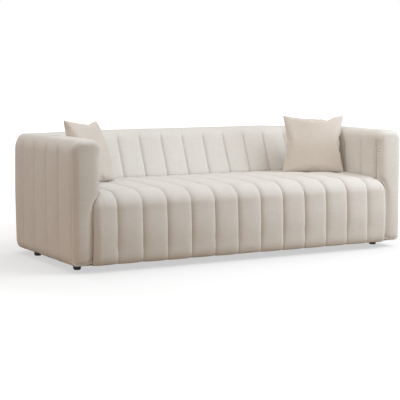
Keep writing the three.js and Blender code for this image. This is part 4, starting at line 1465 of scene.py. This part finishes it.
    def cut_wing(self, pad: Object) -> None:
        """Cuts the room of the seat's wing out of the pad.

        Args:
            pad: The whole pad.
        """
        seat = self.seat
        ahead, below, behind = -0.06, -0.05, seat.skirt + 0.002
        rows = np.linspace(seat.deck_half, seat.front_half, self.wing_rows)
        rings = []
        for across in [self.wing_start, *rows, seat.front_half + self.wing_past]:
            left = float(seat.wing_left(np.array(across)))
            curve = []
            for i in range(self.wing_steps + 1):
                a = seat.wing_angle * i / self.wing_steps
                d = seat.waterfall_reach * (1 - math.cos(a))
                curve.append((d, seat.springing + seat.waterfall_rise * math.sin(a) * left + self.wing_room))
            section = [(ahead, below), (ahead, seat.springing + self.wing_room), *curve,
                       (behind, curve[-1][1]), (behind, below)]
            rings.append([(self.side * across, FRONT_Y + d, z) for d, z in section])
        grid = np.array(rings)
        number = np.arange(grid[..., 0].size).reshape(grid.shape[:2])
        cutter = mesh_piece("wing_room", grid.reshape(-1, 3),
                            [*four_sided(number, closed=True), list(number[0]), list(number[-1])])
        modifier = pad.modifiers.new("room", "BOOLEAN")
        modifier.operation = "DIFFERENCE"
        modifier.solver = "EXACT"
        modifier.object = cutter
        replace_with_result(pad)
        bpy.data.objects.remove(cutter)
        pad.data.set_sharp_from_angle(angle=math.radians(50))


def replace_with_result(piece: Object) -> None:
    """Turns a piece and its modifiers into a plain mesh.

    Args:
        piece: The piece.
    """
    graph = bpy.context.evaluated_depsgraph_get()
    graph.update()
    result = bpy.data.meshes.new_from_object(piece.evaluated_get(graph), depsgraph=graph)
    piece.modifiers.clear()
    old = piece.data
    result.name = old.name
    piece.data = result
    bpy.data.meshes.remove(old)


# Stitches and staples laid along a path


LAID_INPUTS = {"Path": "Geometry", "Spacing": "Float", "Length": "Float", "Width": "Float", "Flatness": "Float",
               "Slant": "Float", "Seed": "Int", "Facing": "Vector", "Material": "Material"}


@dataclass(frozen=True)
class Laid:
    """Short lengths of thread or wire laid one after another along a path, by Geometry Nodes."""

    name: str
    length: float
    width: float
    flatness: float
    spacing: float
    slant: float
    seed: int = 3
    sides: int = 6

    def tree(self) -> NodeTree:
        """Builds the node tree, with its sizes as named inputs.

        Returns:
            The tree.
        """
        tree = bpy.data.node_groups.new(self.name, "GeometryNodeTree")
        for label, kind in LAID_INPUTS.items():
            tree.interface.new_socket(label, in_out="INPUT", socket_type=f"NodeSocket{kind}")
        tree.interface.new_socket("Laid", in_out="OUTPUT", socket_type="NodeSocketGeometry")
        sizes = tree.nodes.new("NodeGroupInput").outputs
        path = add_node(tree, "GeometryNodeMeshToCurve", {"Mesh": sizes["Path"]})
        stops = add_node(tree, "GeometryNodeResampleCurve",
                         {"mode": "LENGTH", "Curve": path, "Length": sizes["Spacing"]})
        halves = [add_node(tree, "ShaderNodeMath", {"operation": "MULTIPLY", 0: sizes["Length"], 1: share})
                  for share in (-0.5, 0.5)]
        ends = [add_node(tree, "ShaderNodeCombineXYZ", {"X": half}) for half in halves]
        line = add_node(tree, "GeometryNodeCurvePrimitiveLine", {"Start": ends[0], "End": ends[1]})
        radius = add_node(tree, "ShaderNodeMath", {"operation": "MULTIPLY", 0: sizes["Width"], 1: 0.5})
        ring = add_node(tree, "GeometryNodeCurvePrimitiveCircle",
                        {"Resolution": self.sides, "Radius": radius})
        rod = add_node(tree, "GeometryNodeCurveToMesh",
                       {"Curve": line, "Profile Curve": ring, "Fill Caps": True})
        squash = add_node(tree, "ShaderNodeCombineXYZ", {"X": 1.0, "Y": 1.0, "Z": sizes["Flatness"]})
        flat = add_node(tree, "GeometryNodeTransform", {"Geometry": rod, "Scale": squash})
        tangent = add_node(tree, "GeometryNodeInputTangent")
        along = add_node(tree, "FunctionNodeAlignRotationToVector", {"axis": "X", "Vector": tangent})
        upright = add_node(tree, "FunctionNodeAlignRotationToVector",
                           {"axis": "Z", "pivot_axis": "X", "Rotation": along, "Vector": sizes["Facing"]})
        less = add_node(tree, "ShaderNodeMath", {"operation": "MULTIPLY", 0: sizes["Slant"], 1: -1.0})
        angle = add_node(tree, "FunctionNodeRandomValue",
                         {"data_type": "FLOAT", 2: less, 3: sizes["Slant"], "Seed": sizes["Seed"]}, 1)
        swing = add_node(tree, "FunctionNodeAxisAngleToRotation", {"Axis": (0.0, 0.0, 1.0), "Angle": angle})
        turn = add_node(tree, "FunctionNodeRotateRotation",
                        {"rotation_space": "LOCAL", "Rotation": upright, "Rotate By": swing})
        placed = add_node(tree, "GeometryNodeInstanceOnPoints",
                          {"Points": stops, "Instance": flat, "Rotation": turn})
        real = add_node(tree, "GeometryNodeRealizeInstances", {"Geometry": placed})
        dressed = add_node(tree, "GeometryNodeSetMaterial", {"Geometry": real, "Material": sizes["Material"]})
        add_node(tree, "NodeGroupOutput", {"Laid": dressed})
        return tree

    def along(self, path: Array, closed: bool, facing: Sequence[float],
              material: Material) -> Object:
        """Lays the lengths along a line of points and gives them as one plain mesh.

        Args:
            path: The line's points.
            closed: Whether its last point joins its first.
            facing: The way that the flat side looks.
            material: The finish of thread or wire.

        Returns:
            The piece.
        """
        mesh = bpy.data.meshes.new(self.name)
        count = len(path)
        edges = [(i, (i + 1) % count) for i in range(count if closed else count - 1)]
        mesh.from_pydata(np.asarray(path, dtype=float).tolist(), edges, [])
        piece = in_scene(self.name, mesh)
        tree = self.tree()
        modifier = piece.modifiers.new("laid", "NODES")
        modifier.node_group = tree
        values = {"Spacing": self.spacing, "Length": self.length, "Width": self.width,
                  "Flatness": self.flatness, "Slant": self.slant, "Seed": self.seed,
                  "Facing": tuple(facing), "Material": material}
        for socket in tree.interface.items_tree:
            if socket.in_out == "INPUT" and socket.name in values:
                modifier[socket.identifier] = values[socket.name]
        replace_with_result(piece)
        piece.data.shade_smooth()
        return piece


# Loose pillows


# Cotton of medium weight, blown up like a balloon
CLOTH_SETTINGS = {
    "quality": 8, "mass": 0.25, "tension_stiffness": 30, "compression_stiffness": 30, "shear_stiffness": 12,
    "bending_stiffness": 0.8, "tension_damping": 12, "air_damping": 2, "use_pressure": True,
    "uniform_pressure_force": 4.0,
}


@dataclass
class Pillow:
    """Loose square pillow with a knife edge, blown up from two flat squares of cloth.

    It turns about its upright axis, leans back and rolls sideways, in radians. Its top has a dent, whose place
    and reach are in half widths and whose depth is in metres.
    """

    finishes: Finishes
    label: str
    place: tuple[float, float]
    turn: float
    lean: float
    roll: float
    dent: tuple[float, float, float]
    width: float = 0.390
    height: float = 0.373
    thickness: float = 0.120
    draw_in: float = 0.022
    cut_size: float = 1.02
    cut_thickness: float = 0.02
    cut_share: float = 0.4
    crown_power: float = 0.42
    ear: float = 2.6
    cells: int = 44
    frames: int = 20
    filling_share: float = 0.93
    side_bow: float = 0.017
    top_bow: float = 0.018
    low_flatness: float = 0.45
    straightness: float = 0.85
    sunk: float = 0.004
    lift: float = 0.0004

    def lattice(self) -> tuple[Array, Array, list]:
        """Numbers two square grids that share their rim.

        Returns:
            Across, up and side of the pillow for each point, from -1 to 1; the point numbers of
            each grid; and the faces.
        """
        n = self.cells
        shares, number = [], -np.ones((2, n + 1, n + 1), dtype=int)
        for layer, side in enumerate((-1, 1)):
            for i, j in np.ndindex(n + 1, n + 1):
                if layer and (i in (0, n) or j in (0, n)):
                    number[1, i, j] = number[0, i, j]
                    continue
                number[layer, i, j] = len(shares)
                shares.append((2 * i / n - 1, 2 * j / n - 1, side))
        faces = four_sided(number[0]) + [face[::-1] for face in four_sided(number[1])]
        return np.array(shares), number, faces

    def start(self, shares: Array, blown: bool) -> Array:
        """Lays the cloth: nearly flat and a little large if it is blown up later, or else as a full form.

        Args:
            shares: Across, up and side of the pillow for each point.
            blown: Whether it is blown up later.

        Returns:
            The points.
        """
        u, v, side = shares.T
        size = self.cut_size if blown else 1.0
        thick = self.cut_thickness if blown else self.thickness
        pull = 2 * self.draw_in * (self.cut_share if blown else 1.0)
        crown = (np.clip(1 - u * u, 0, None) * np.clip(1 - v * v, 0, None)) ** self.crown_power
        x = u / 2 * (self.width * size - pull * (1 - np.abs(v) ** self.ear))
        z = v / 2 * (self.height * size - pull * (1 - np.abs(u) ** self.ear))
        return np.stack([x, side * thick / 2 * crown, z], axis=1)

    def blow_up(self, piece: Object) -> Array:
        """Runs the cloth simulation with gravity off until the pillow is full, and gives its points.

        Args:
            piece: The flat cloth.

        Returns:
            Its points when it is full.
        """
        modifier = piece.modifiers.new("cloth", "CLOTH")
        for name, value in CLOTH_SETTINGS.items():
            setattr(modifier.settings, name, value)
        modifier.settings.effector_weights.gravity = 0
        modifier.collision_settings.use_collision = False
        modifier.point_cache.frame_start = 1
        modifier.point_cache.frame_end = self.frames
        scene = bpy.context.scene
        points = np.empty(len(piece.data.vertices) * 3)
        for number in range(1, self.frames + 1):
            scene.frame_set(number)
            graph = bpy.context.evaluated_depsgraph_get()
            piece.evaluated_get(graph).data.vertices.foreach_get("co", points)
            thick = np.ptp(points.reshape(-1, 3)[:, 1])
            if thick > self.thickness:
                break
        log.info("pillow %s: %.0f mm thick at frame %d", self.label, thick * 1000, number)
        piece.modifiers.remove(modifier)
        scene.frame_set(1)
        return points.reshape(-1, 3)

    def settle(self, points: Array, shares: Array, number: Array) -> Array:
        """Sizes the blown pillow, sits it on a straight lower edge, dents its top and puts it in place.

        Args:
            points: The full pillow's points.
            shares: Across, up and side of the pillow for each point.
            number: The point numbers of each grid.

        Returns:
            The points in place.
        """
        points = points - (points.max(0) + points.min(0)) / 2
        points = points * np.array([self.width, self.thickness, self.height]) / np.ptp(points, axis=0)
        column = np.rint((shares[:, 0] + 1) / 2 * self.cells).astype(int)
        u, v = shares[:, 0], shares[:, 1]
        points[:, 0] += self.side_bow * u**3 * (1 - v**2) ** 1.5
        points[:, 2] += self.top_bow * np.clip(v, 0, None) ** 3 * (1 - u**2)
        points[:, 1] *= 1 - self.low_flatness * np.clip(-v, 0, None) ** 1.5 * (shares[:, 2] < 0)
        lower = points[number[0, :, 0], 2]
        points[:, 2] -= self.straightness * (lower - lower.min())[column] * ((1 - v) / 2) ** 3
        at, reach, depth = self.dent
        near = np.exp(-((u - at) / reach) ** 2)
        points[:, 2] -= depth * near * ((1 + v) / 2) ** 6
        points[:, 2] += self.height / 2
        turned = (Matrix.Rotation(self.turn, 3, "Z") @ Matrix.Rotation(-self.lean, 3, "X")
                  @ Matrix.Rotation(self.roll, 3, "Y"))
        points = points @ np.array(turned).T
        points[:, :2] += self.place
        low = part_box(f"pillow_cover_{self.label}")[0].z
        points[:, 2] += low - self.sunk - points[:, 2].min()
        points[:, 2] = np.maximum(points[:, 2], low + self.lift)
        return points

    def skin(self, name: str, points: Array, faces: list, uv: Array, node: str,
             slot: str) -> Object:
        """Makes one closed layer of the pillow, smoothed once.

        Args:
            name: The piece's name.
            points: Its points.
            faces: Its faces.
            uv: A place on the cloth for each point.
            node: The CAD node that it stands for.
            slot: Its material slot.

        Returns:
            The piece.
        """
        piece = mesh_piece(name, points, faces, uv, crease=180)
        modifier = piece.modifiers.new("smooth", "SUBSURF")
        modifier.levels = modifier.render_levels = 1
        replace_with_result(piece)
        piece.data.shade_smooth()
        return self.finishes.dress(piece, slot, f"pillow_{self.label}", node, fill=0.75)

    def build(self) -> list[Object]:
        """Makes the case, its filling and the stitches that close its lower edge.

        Returns:
            The three pieces.
        """
        shares, number, faces = self.lattice()
        uv = shares[:, :2] * [self.width / 2, self.height / 2] + shares[:, 2:]
        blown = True
        points = self.start(shares, blown)
        if blown:
            flat = mesh_piece(f"cut_cloth_{self.label}", points, faces, uv, crease=180)
            points = self.blow_up(flat)
            bpy.data.objects.remove(flat)
        points = self.settle(points, shares, number)
        middle = (points.max(0) + points.min(0)) / 2
        inner = middle + (points - middle) * self.filling_share
        case = self.skin(f"pillow_case_{self.label}", points, faces, uv,
                         f"pillow_cover_{self.label}", "pillow_cloth")
        filling = self.skin(f"pillow_filling_{self.label}", inner, faces, uv,
                            f"pillow_insert_{self.label}", "pillow_filling")
        edge = points[number[0, self.cells // 5:-self.cells // 5, 0]]
        facing = tuple(Matrix.Rotation(self.turn, 3, "Z") @ Vector((0, -1, 0)))
        stitches = Laid(f"closing_stitches_{self.label}", length=0.0052, width=0.0011, flatness=0.8,
                        spacing=0.0075, slant=0.12).along(edge, False, facing, self.finishes.made["thread"])
        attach(stitches, f"pillow_{self.label}")
        return [case, filling, stitches]


# Underside


@dataclass
class Underside:
    """Dust lining, its staples and the turned feet."""

    finishes: Finishes
    inset: float = 0.0263
    lining_low: float = 0.0384
    lining_thickness: float = 0.0008
    hole_radius: float = 0.0244
    hole_clear: float = 0.035
    corner_clear: float = 0.06
    edge_wave: float = 0.2
    rim_inset: float = 0.0003
    staple_inset: float = 0.010
    across: tuple[float, float] = (-1.04, 1.05)
    along: tuple[float, float] = (-0.40, 0.45)
    cell: float = 0.04
    foot_top: float = 0.0403
    foot_places: tuple[tuple[float, float], ...] = (
        (-1.002, -0.300), (1.002, -0.300), (-1.002, 0.280), (1.002, 0.280), (0.0, 0.0))

    def outline(self, extra: float = 0.0) -> list[tuple[float, float]]:
        """Outline of the lining, with rounded rear corners.

        Args:
            extra: How much further in it lies.

        Returns:
            Its points.
        """
        x = HALF_WIDTH - self.inset - extra
        radius = CORNER_RADIUS - self.inset
        center_y = BACK_Y - CORNER_RADIUS
        front = WRAP_START_Y + extra
        right = [(x - radius + radius * math.cos(a), center_y + (radius - extra) * math.sin(a))
                 for a in np.linspace(0, math.pi / 2, 9)]
        left = [(-px, py) for px, py in reversed(right)]
        return [(-x, front), (x, front), *right, *left]

    def from_feet(self, x: float, y: float) -> float:
        """Distance to the middle of the nearest foot."""
        return min(math.hypot(x - foot_x, y - foot_y) for foot_x, foot_y in self.foot_places)

    def build_lining(self) -> Object:
        """Returns:
            The lining.
        """
        border = self.outline(self.rim_inset)
        loops = [border, *(circle(x, y, self.hole_radius, 24) for x, y in self.foot_places)]
        points: list[Vector] = []
        edges: list[tuple[int, int]] = []
        for loop in loops:
            start = len(points)
            points += [Vector(p) for p in loop]
            edges += [(start + i, start + (i + 1) % len(loop)) for i in range(len(loop))]
        rim = len(points)
        for x in np.arange(*self.across, self.cell):
            for y in np.arange(*self.along, self.cell):
                past = (max(abs(x) - HALF_WIDTH + CORNER_RADIUS, 0), max(y - BACK_Y + CORNER_RADIUS, 0))
                if self.from_feet(x, y) > self.hole_clear and math.hypot(*past) < self.corner_clear:
                    points.append(Vector((x, y)))
        verts, _, faces, *_ = delaunay_2d_cdt(points, edges, [], 1, 1e-6)
        middles = [sum((verts[i] for i in face), Vector((0, 0))) / len(face) for face in faces]
        hole = self.hole_radius - 0.1 * MM
        kept = [face for face, middle in zip(faces, middles) if self.from_feet(*middle) > hole]
        flat = np.array([(v.x, v.y, self.lining_low) for v in verts])
        wave = (LINING_WAVES[0][0] + uneven(flat, LINING_WAVES)) / 2
        wave[:rim] *= self.edge_wave
        flat[:, 2] += wave
        mesh = bpy.data.meshes.new("dust_lining")
        mesh.from_pydata(flat.tolist(), [], [list(face) for face in kept])
        layer = mesh.uv_layers.new(name="cloth")
        for corner in mesh.loops:
            layer.data[corner.index].uv = flat[corner.vertex_index][:2]
        sheet = in_scene("dust_lining", mesh)
        modifier = sheet.modifiers.new("thickness", "SOLIDIFY")
        modifier.thickness = self.lining_thickness
        modifier.offset = 1.0
        replace_with_result(sheet)
        sheet.data.shade_smooth()
        sheet.data.set_sharp_from_angle(angle=math.radians(40))
        self.finishes.dress(sheet, "lining", "sofa", "dust_cover")
        xs, ys = zip(*border)
        wide, deep = max(xs) - min(xs), max(ys) - min(ys)
        return sheet

    def build_staples(self) -> Object:
        """Drives a row of wire staples round the edge of the lining.

        Returns:
            The staples.
        """
        path = np.array([(x, y, self.lining_low - 0.0001) for x, y in self.outline(self.staple_inset)])
        staples = Laid("lining_staples", length=0.0115, width=0.0013, flatness=0.6, spacing=0.046,
                       slant=0.16).along(path, True, (0.0, 0.0, -1.0), self.finishes.made["staple_wire"])
        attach(staples, "sofa")
        return staples

    def build_feet(self) -> Object:
        """Makes the five turned feet as one mesh with rounded edges.

        Returns:
            The feet.
        """
        profile = [(0.0043, self.foot_top), (0.0235, self.foot_top), (0.024, self.foot_top - 0.0008)]
        profile += [(0.0212 + 0.0028 * t, 0.0052 + (self.foot_top - 0.0065) * t)
                    for t in (0.8, 0.6, 0.4, 0.2, 0.0)]
        profile += [(0.0209, 0.0042), (0.0202, 0.0034), (0.0093, 0.0034), (0.0093, 0.0149), (0.0043, 0.0149)]
        return self.turned("feet", profile, 48, "foot_plastic", "foot_")

    def build_glides(self) -> Object:
        """Makes the felt glides, each a disc with a soft edge and a spigot into its foot.

        Returns:
            The glides.
        """
        profile = [(0.0, 0.0), (0.0168, 0.0), (0.0177, 0.0004), (0.018, 0.0011), (0.018, 0.0024),
                   (0.0176, 0.003), (0.006, 0.003), (0.006, 0.009), (0.0, 0.009)]
        return self.turned("felt_glides", profile, 40, "felt", "foot_glide_")

    def turned(self, name: str, profile: list[tuple[float, float]], sides: int, slot: str,
               prefix: str) -> Object:
        """Turns one profile at every foot's place and joins the results.

        Args:
            name: The piece's name.
            profile: Radius and height of each point.
            sides: How many sides it is turned with.
            slot: Its material slot.
            prefix: What its nodes' names begin with.

        Returns:
            The piece.
        """
        points, faces = [], []
        for foot_x, foot_y in self.foot_places:
            rings = []
            for radius, height in profile:
                around = circle(foot_x, foot_y, radius, sides if radius else 1)
                rings.append([len(points) + i % len(around) for i in range(sides)])
                points += [(x, y, height) for x, y in around]
            if profile[0][0] > 0:
                rings.append(rings[0])
            for low, high in zip(rings, rings[1:]):
                for i in range(sides):
                    face = list(dict.fromkeys((low[i], low[i - sides + 1], high[i - sides + 1], high[i])))
                    if len(face) > 2:
                        faces.append(face)
        piece = mesh_piece(name, np.array(points), faces, crease=35)
        places = ("front_left", "front_right", "rear_left", "rear_right", "center")
        return self.finishes.dress(piece, slot, "sofa", *[prefix + place for place in places])

    def build(self) -> list[Object]:
        """Makes everything under the sofa."""
        return [self.build_lining(), self.build_staples(), self.build_feet(), self.build_glides()]


# Carried nodes


SLOT_BY_WORD = (("pillow_insert", "pillow_filling"), ("bolt", "bolt_steel"), ("side_panel", "plywood"),
                ("back_panel", "plywood"), ("strap", "webbing"), ("foam", "foam"), ("front_pad", "foam"),
                ("rail", "timber"), ("post", "timber"), ("upright", "timber"), ("block", "timber"))


def dress_nodes(finishes: Finishes) -> int:
    """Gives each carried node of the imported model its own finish.

    Args:
        finishes: The finishes.

    Returns:
        How many nodes were dressed.
    """
    dressed = 0
    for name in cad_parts:
        slot = next((slot for word, slot in SLOT_BY_WORD if word in name), None)
        node = bpy.data.objects.get(name)
        if slot is None or node is None:
            continue
        if not node.material_slots:
            node.data.materials.append(finishes.made[slot])
        for place in node.material_slots:
            place.material = finishes.made[slot]
        dressed += 1
    return dressed


# Room


@dataclass
class Studio:
    """Camera, lamps, floor and the white that surrounds them.

    Each glow is a range of shade or distance, and the range of light that it turns into.
    """

    location: tuple[float, float, float] = (-3.6376, -6.4558, 1.1148)
    yaw: float = 0.5053
    pitch: float = 0.1093
    lens: float = 110.75
    floor_half: float = 30.0
    floor_grey: float = 0.28
    floor_lit: str = "#a8937e"
    shade_aside: tuple[float, float, float] = (0.643, 0.0, 0.766)
    shade_distance: float = 0.8
    shade_power: float = 0.75
    near_glow: tuple[float, float, float, float] = (0.56, 1.0, 0.570, 0.757)
    far_glow: tuple[float, float, float, float] = (1.6, 3.2, 0.0, 0.3)
    horizon: tuple[float, float, float] = (0.192, 0.177, 0.164)
    sky: tuple[tuple[tuple[float, float, float], float, tuple[float, float, float]], ...] = (
        ((-1.0, 0.0, 0.15), 2.0, (0.688, 0.594, 0.531)),
        ((0.0, 0.7, 0.7), 6.0, (0.604, 0.515, 0.450)),
        ((0.0, -0.7, 0.7), 6.0, (0.437, 0.414, 0.382)),
    )

    def build_camera(self) -> None:
        """Sets the camera at the photograph's viewing angle."""
        data = bpy.data.cameras.new("camera")
        data.lens = self.lens
        data.sensor_width = 36
        camera = in_scene("camera", data)
        camera.location = self.location
        camera.rotation_euler = Euler((math.pi / 2 - self.pitch, 0, -self.yaw))
        bpy.context.scene.camera = camera

    def lamp(self, name: str, at: Sequence[float], to: Sequence[float], size: tuple[float, float],
             power: float, colour: str) -> None:
        """Adds one soft area lamp.

        Args:
            name: The lamp's name.
            at: Its place.
            to: The point that it faces.
            size: Its width and height.
            power: Watts.
            colour: sRGB hex colour.
        """
        data = bpy.data.lights.new(name, "AREA")
        data.shape = "RECTANGLE"
        data.size, data.size_y = size
        data.energy = power
        data.color = srgb(colour)[:3]
        lamp = in_scene(name, data)
        lamp.location = at
        lamp.rotation_euler = (Vector(to) - Vector(at)).to_track_quat("-Z", "Y").to_euler()

    def shown_or_lit(self, tree: NodeTree, output: str, shown: NodeSocket,
                     lit: NodeSocket) -> None:
        """Ends a tree: one shader for camera, glossy and transmission rays, the other for the sofa's light.

        Args:
            tree: The node tree.
            output: The output node's type name.
            shown: The shader that the rays see.
            lit: The shader that lights the sofa.
        """
        rays = tree.nodes.new("ShaderNodeLightPath").outputs
        seen = rays["Is Camera Ray"]
        for kind in ("Is Glossy Ray", "Is Transmission Ray"):
            seen = add_node(tree, "ShaderNodeMath", {"operation": "MAXIMUM", 0: seen, 1: rays[kind]})
        either = add_node(tree, "ShaderNodeMixShader", {0: seen, 1: lit, 2: shown})
        add_node(tree, output, {"Surface": either})

    def build_world(self) -> None:
        """Lights the scene from all round, and shows white where the surroundings are seen."""
        world = bpy.data.worlds.new("white_room")
        tree = blank_tree(world)
        way = add_node(tree, "ShaderNodeTexCoord", out="Generated")
        total = self.horizon
        for aim, focus, strength in self.sky:
            toward = add_node(tree, "ShaderNodeVectorMath",
                              {"operation": "DOT_PRODUCT", 0: way, 1: Vector(aim).normalized()}, "Value")
            facing = add_node(tree, "ShaderNodeMath", {"operation": "MAXIMUM", 0: toward, 1: 0.0})
            fall = add_node(tree, "ShaderNodeMath", {"operation": "POWER", 0: facing, 1: focus})
            lobe = add_node(tree, "ShaderNodeVectorMath", {"operation": "SCALE", 0: strength, "Scale": fall})
            total = add_node(tree, "ShaderNodeVectorMath", {"operation": "ADD", 0: lobe, 1: total})
        soft = add_node(tree, "ShaderNodeBackground", {"Color": total, "Strength": 1.0})
        white = add_node(tree, "ShaderNodeBackground", {"Color": WHITE, "Strength": 1.0})
        self.shown_or_lit(tree, "ShaderNodeOutputWorld", white, soft)
        bpy.context.scene.world = world

    def build_floor(self) -> None:
        """Lays a wide floor, white far off, that shows the sofa's soft shadow.

        The shadow is the share of the half space that stays open, tilted away from the lamps.
        """
        mesh = bpy.data.meshes.new("studio_floor")
        half = self.floor_half
        mesh.from_pydata([(-half, -half, 0), (half, -half, 0), (half, half, 0), (-half, half, 0)], [],
                         [(0, 1, 2, 3)])
        material = bpy.data.materials.new("white_sweep")
        tree = blank_tree(material)
        place = add_node(tree, "ShaderNodeTexCoord", out="Object")
        far = add_node(tree, "ShaderNodeVectorMath", {"operation": "LENGTH", 0: place}, "Value")
        aside = add_node(tree, "ShaderNodeCombineXYZ", dict(enumerate(self.shade_aside)))
        open_share = add_node(tree, "ShaderNodeAmbientOcclusion",
                              {"samples": 16, "Distance": self.shade_distance, "Normal": aside}, "AO")
        eased = add_node(tree, "ShaderNodeMath", {"operation": "POWER", 0: open_share, 1: self.shade_power})
        glows = [add_node(tree, "ShaderNodeMapRange",
                          {"Value": value, **dict(zip(("From Min", "From Max", "To Min", "To Max"), ends))})
                 for value, ends in ((eased, self.near_glow), (far, self.far_glow))]
        both = add_node(tree, "ShaderNodeMath", {"operation": "ADD", 0: glows[0], 1: glows[1]})
        glow = add_node(tree, "ShaderNodeEmission", {"Color": WHITE, "Strength": both})
        grey = add_node(tree, "ShaderNodeBsdfDiffuse", {"Color": (*[self.floor_grey] * 3, 1.0)})
        shown = add_node(tree, "ShaderNodeAddShader", {0: grey, 1: glow})
        lit = add_node(tree, "ShaderNodeBsdfDiffuse", {"Color": srgb(self.floor_lit)})
        self.shown_or_lit(tree, "ShaderNodeOutputMaterial", shown, lit)
        mesh.materials.append(material)
        in_scene("studio_floor", mesh)

    def build(self) -> None:
        """Sets up the whole room."""
        bpy.context.scene.view_settings.view_transform = "Standard"
        self.build_camera()
        self.lamp("key", at=(1.9, -1.9, 3.3), to=(0.1, 0.0, 0.4), size=(2.6, 2.2), power=76, colour="#f0f9ff")
        self.lamp("top", at=(-1.4, -0.2, 2.6), to=(-0.6, 0.1, 0.4), size=(1.6, 1.6), power=15.7, colour="#e8f5ff")
        self.lamp("side", at=(2.9, -2.2, 1.3), to=(0.4, -0.4, 0.35), size=(1.6, 1.8), power=36.5, colour="#e9f5ff")
        self.build_world()
        self.build_floor()


def main() -> None:
    """Builds the sofa in order and reports each piece."""
    logging.basicConfig(level=logging.INFO, format="%(message)s", stream=sys.stdout)
    Studio().build()
    finishes = Finishes()
    finishes.build()
    log.info("carried nodes dressed: %d", dress_nodes(finishes))
    pieces = Walls(finishes).build()
    seat = Seat(finishes)
    pieces.append(seat.build())
    for label, side in (("left", -1), ("right", 1)):
        pieces.append(ArmFront(finishes, seat, side, label).build())
    pieces += Underside(finishes).build()
    pieces += Pillow(finishes, "left", place=(-0.755, -0.066), turn=0.68, lean=0.37, roll=0.060,
                     dent=(0.27, 0.30, 0.008)).build()
    pieces += Pillow(finishes, "right", place=(0.720, -0.050), turn=-0.56, lean=0.32, roll=0.0,
                     dent=(0.47, 0.11, 0.020)).build()
    for piece in pieces:
        log.info("%s: %d faces", piece.name, len(piece.data.polygons))


if __name__ == "__main__":
    main()
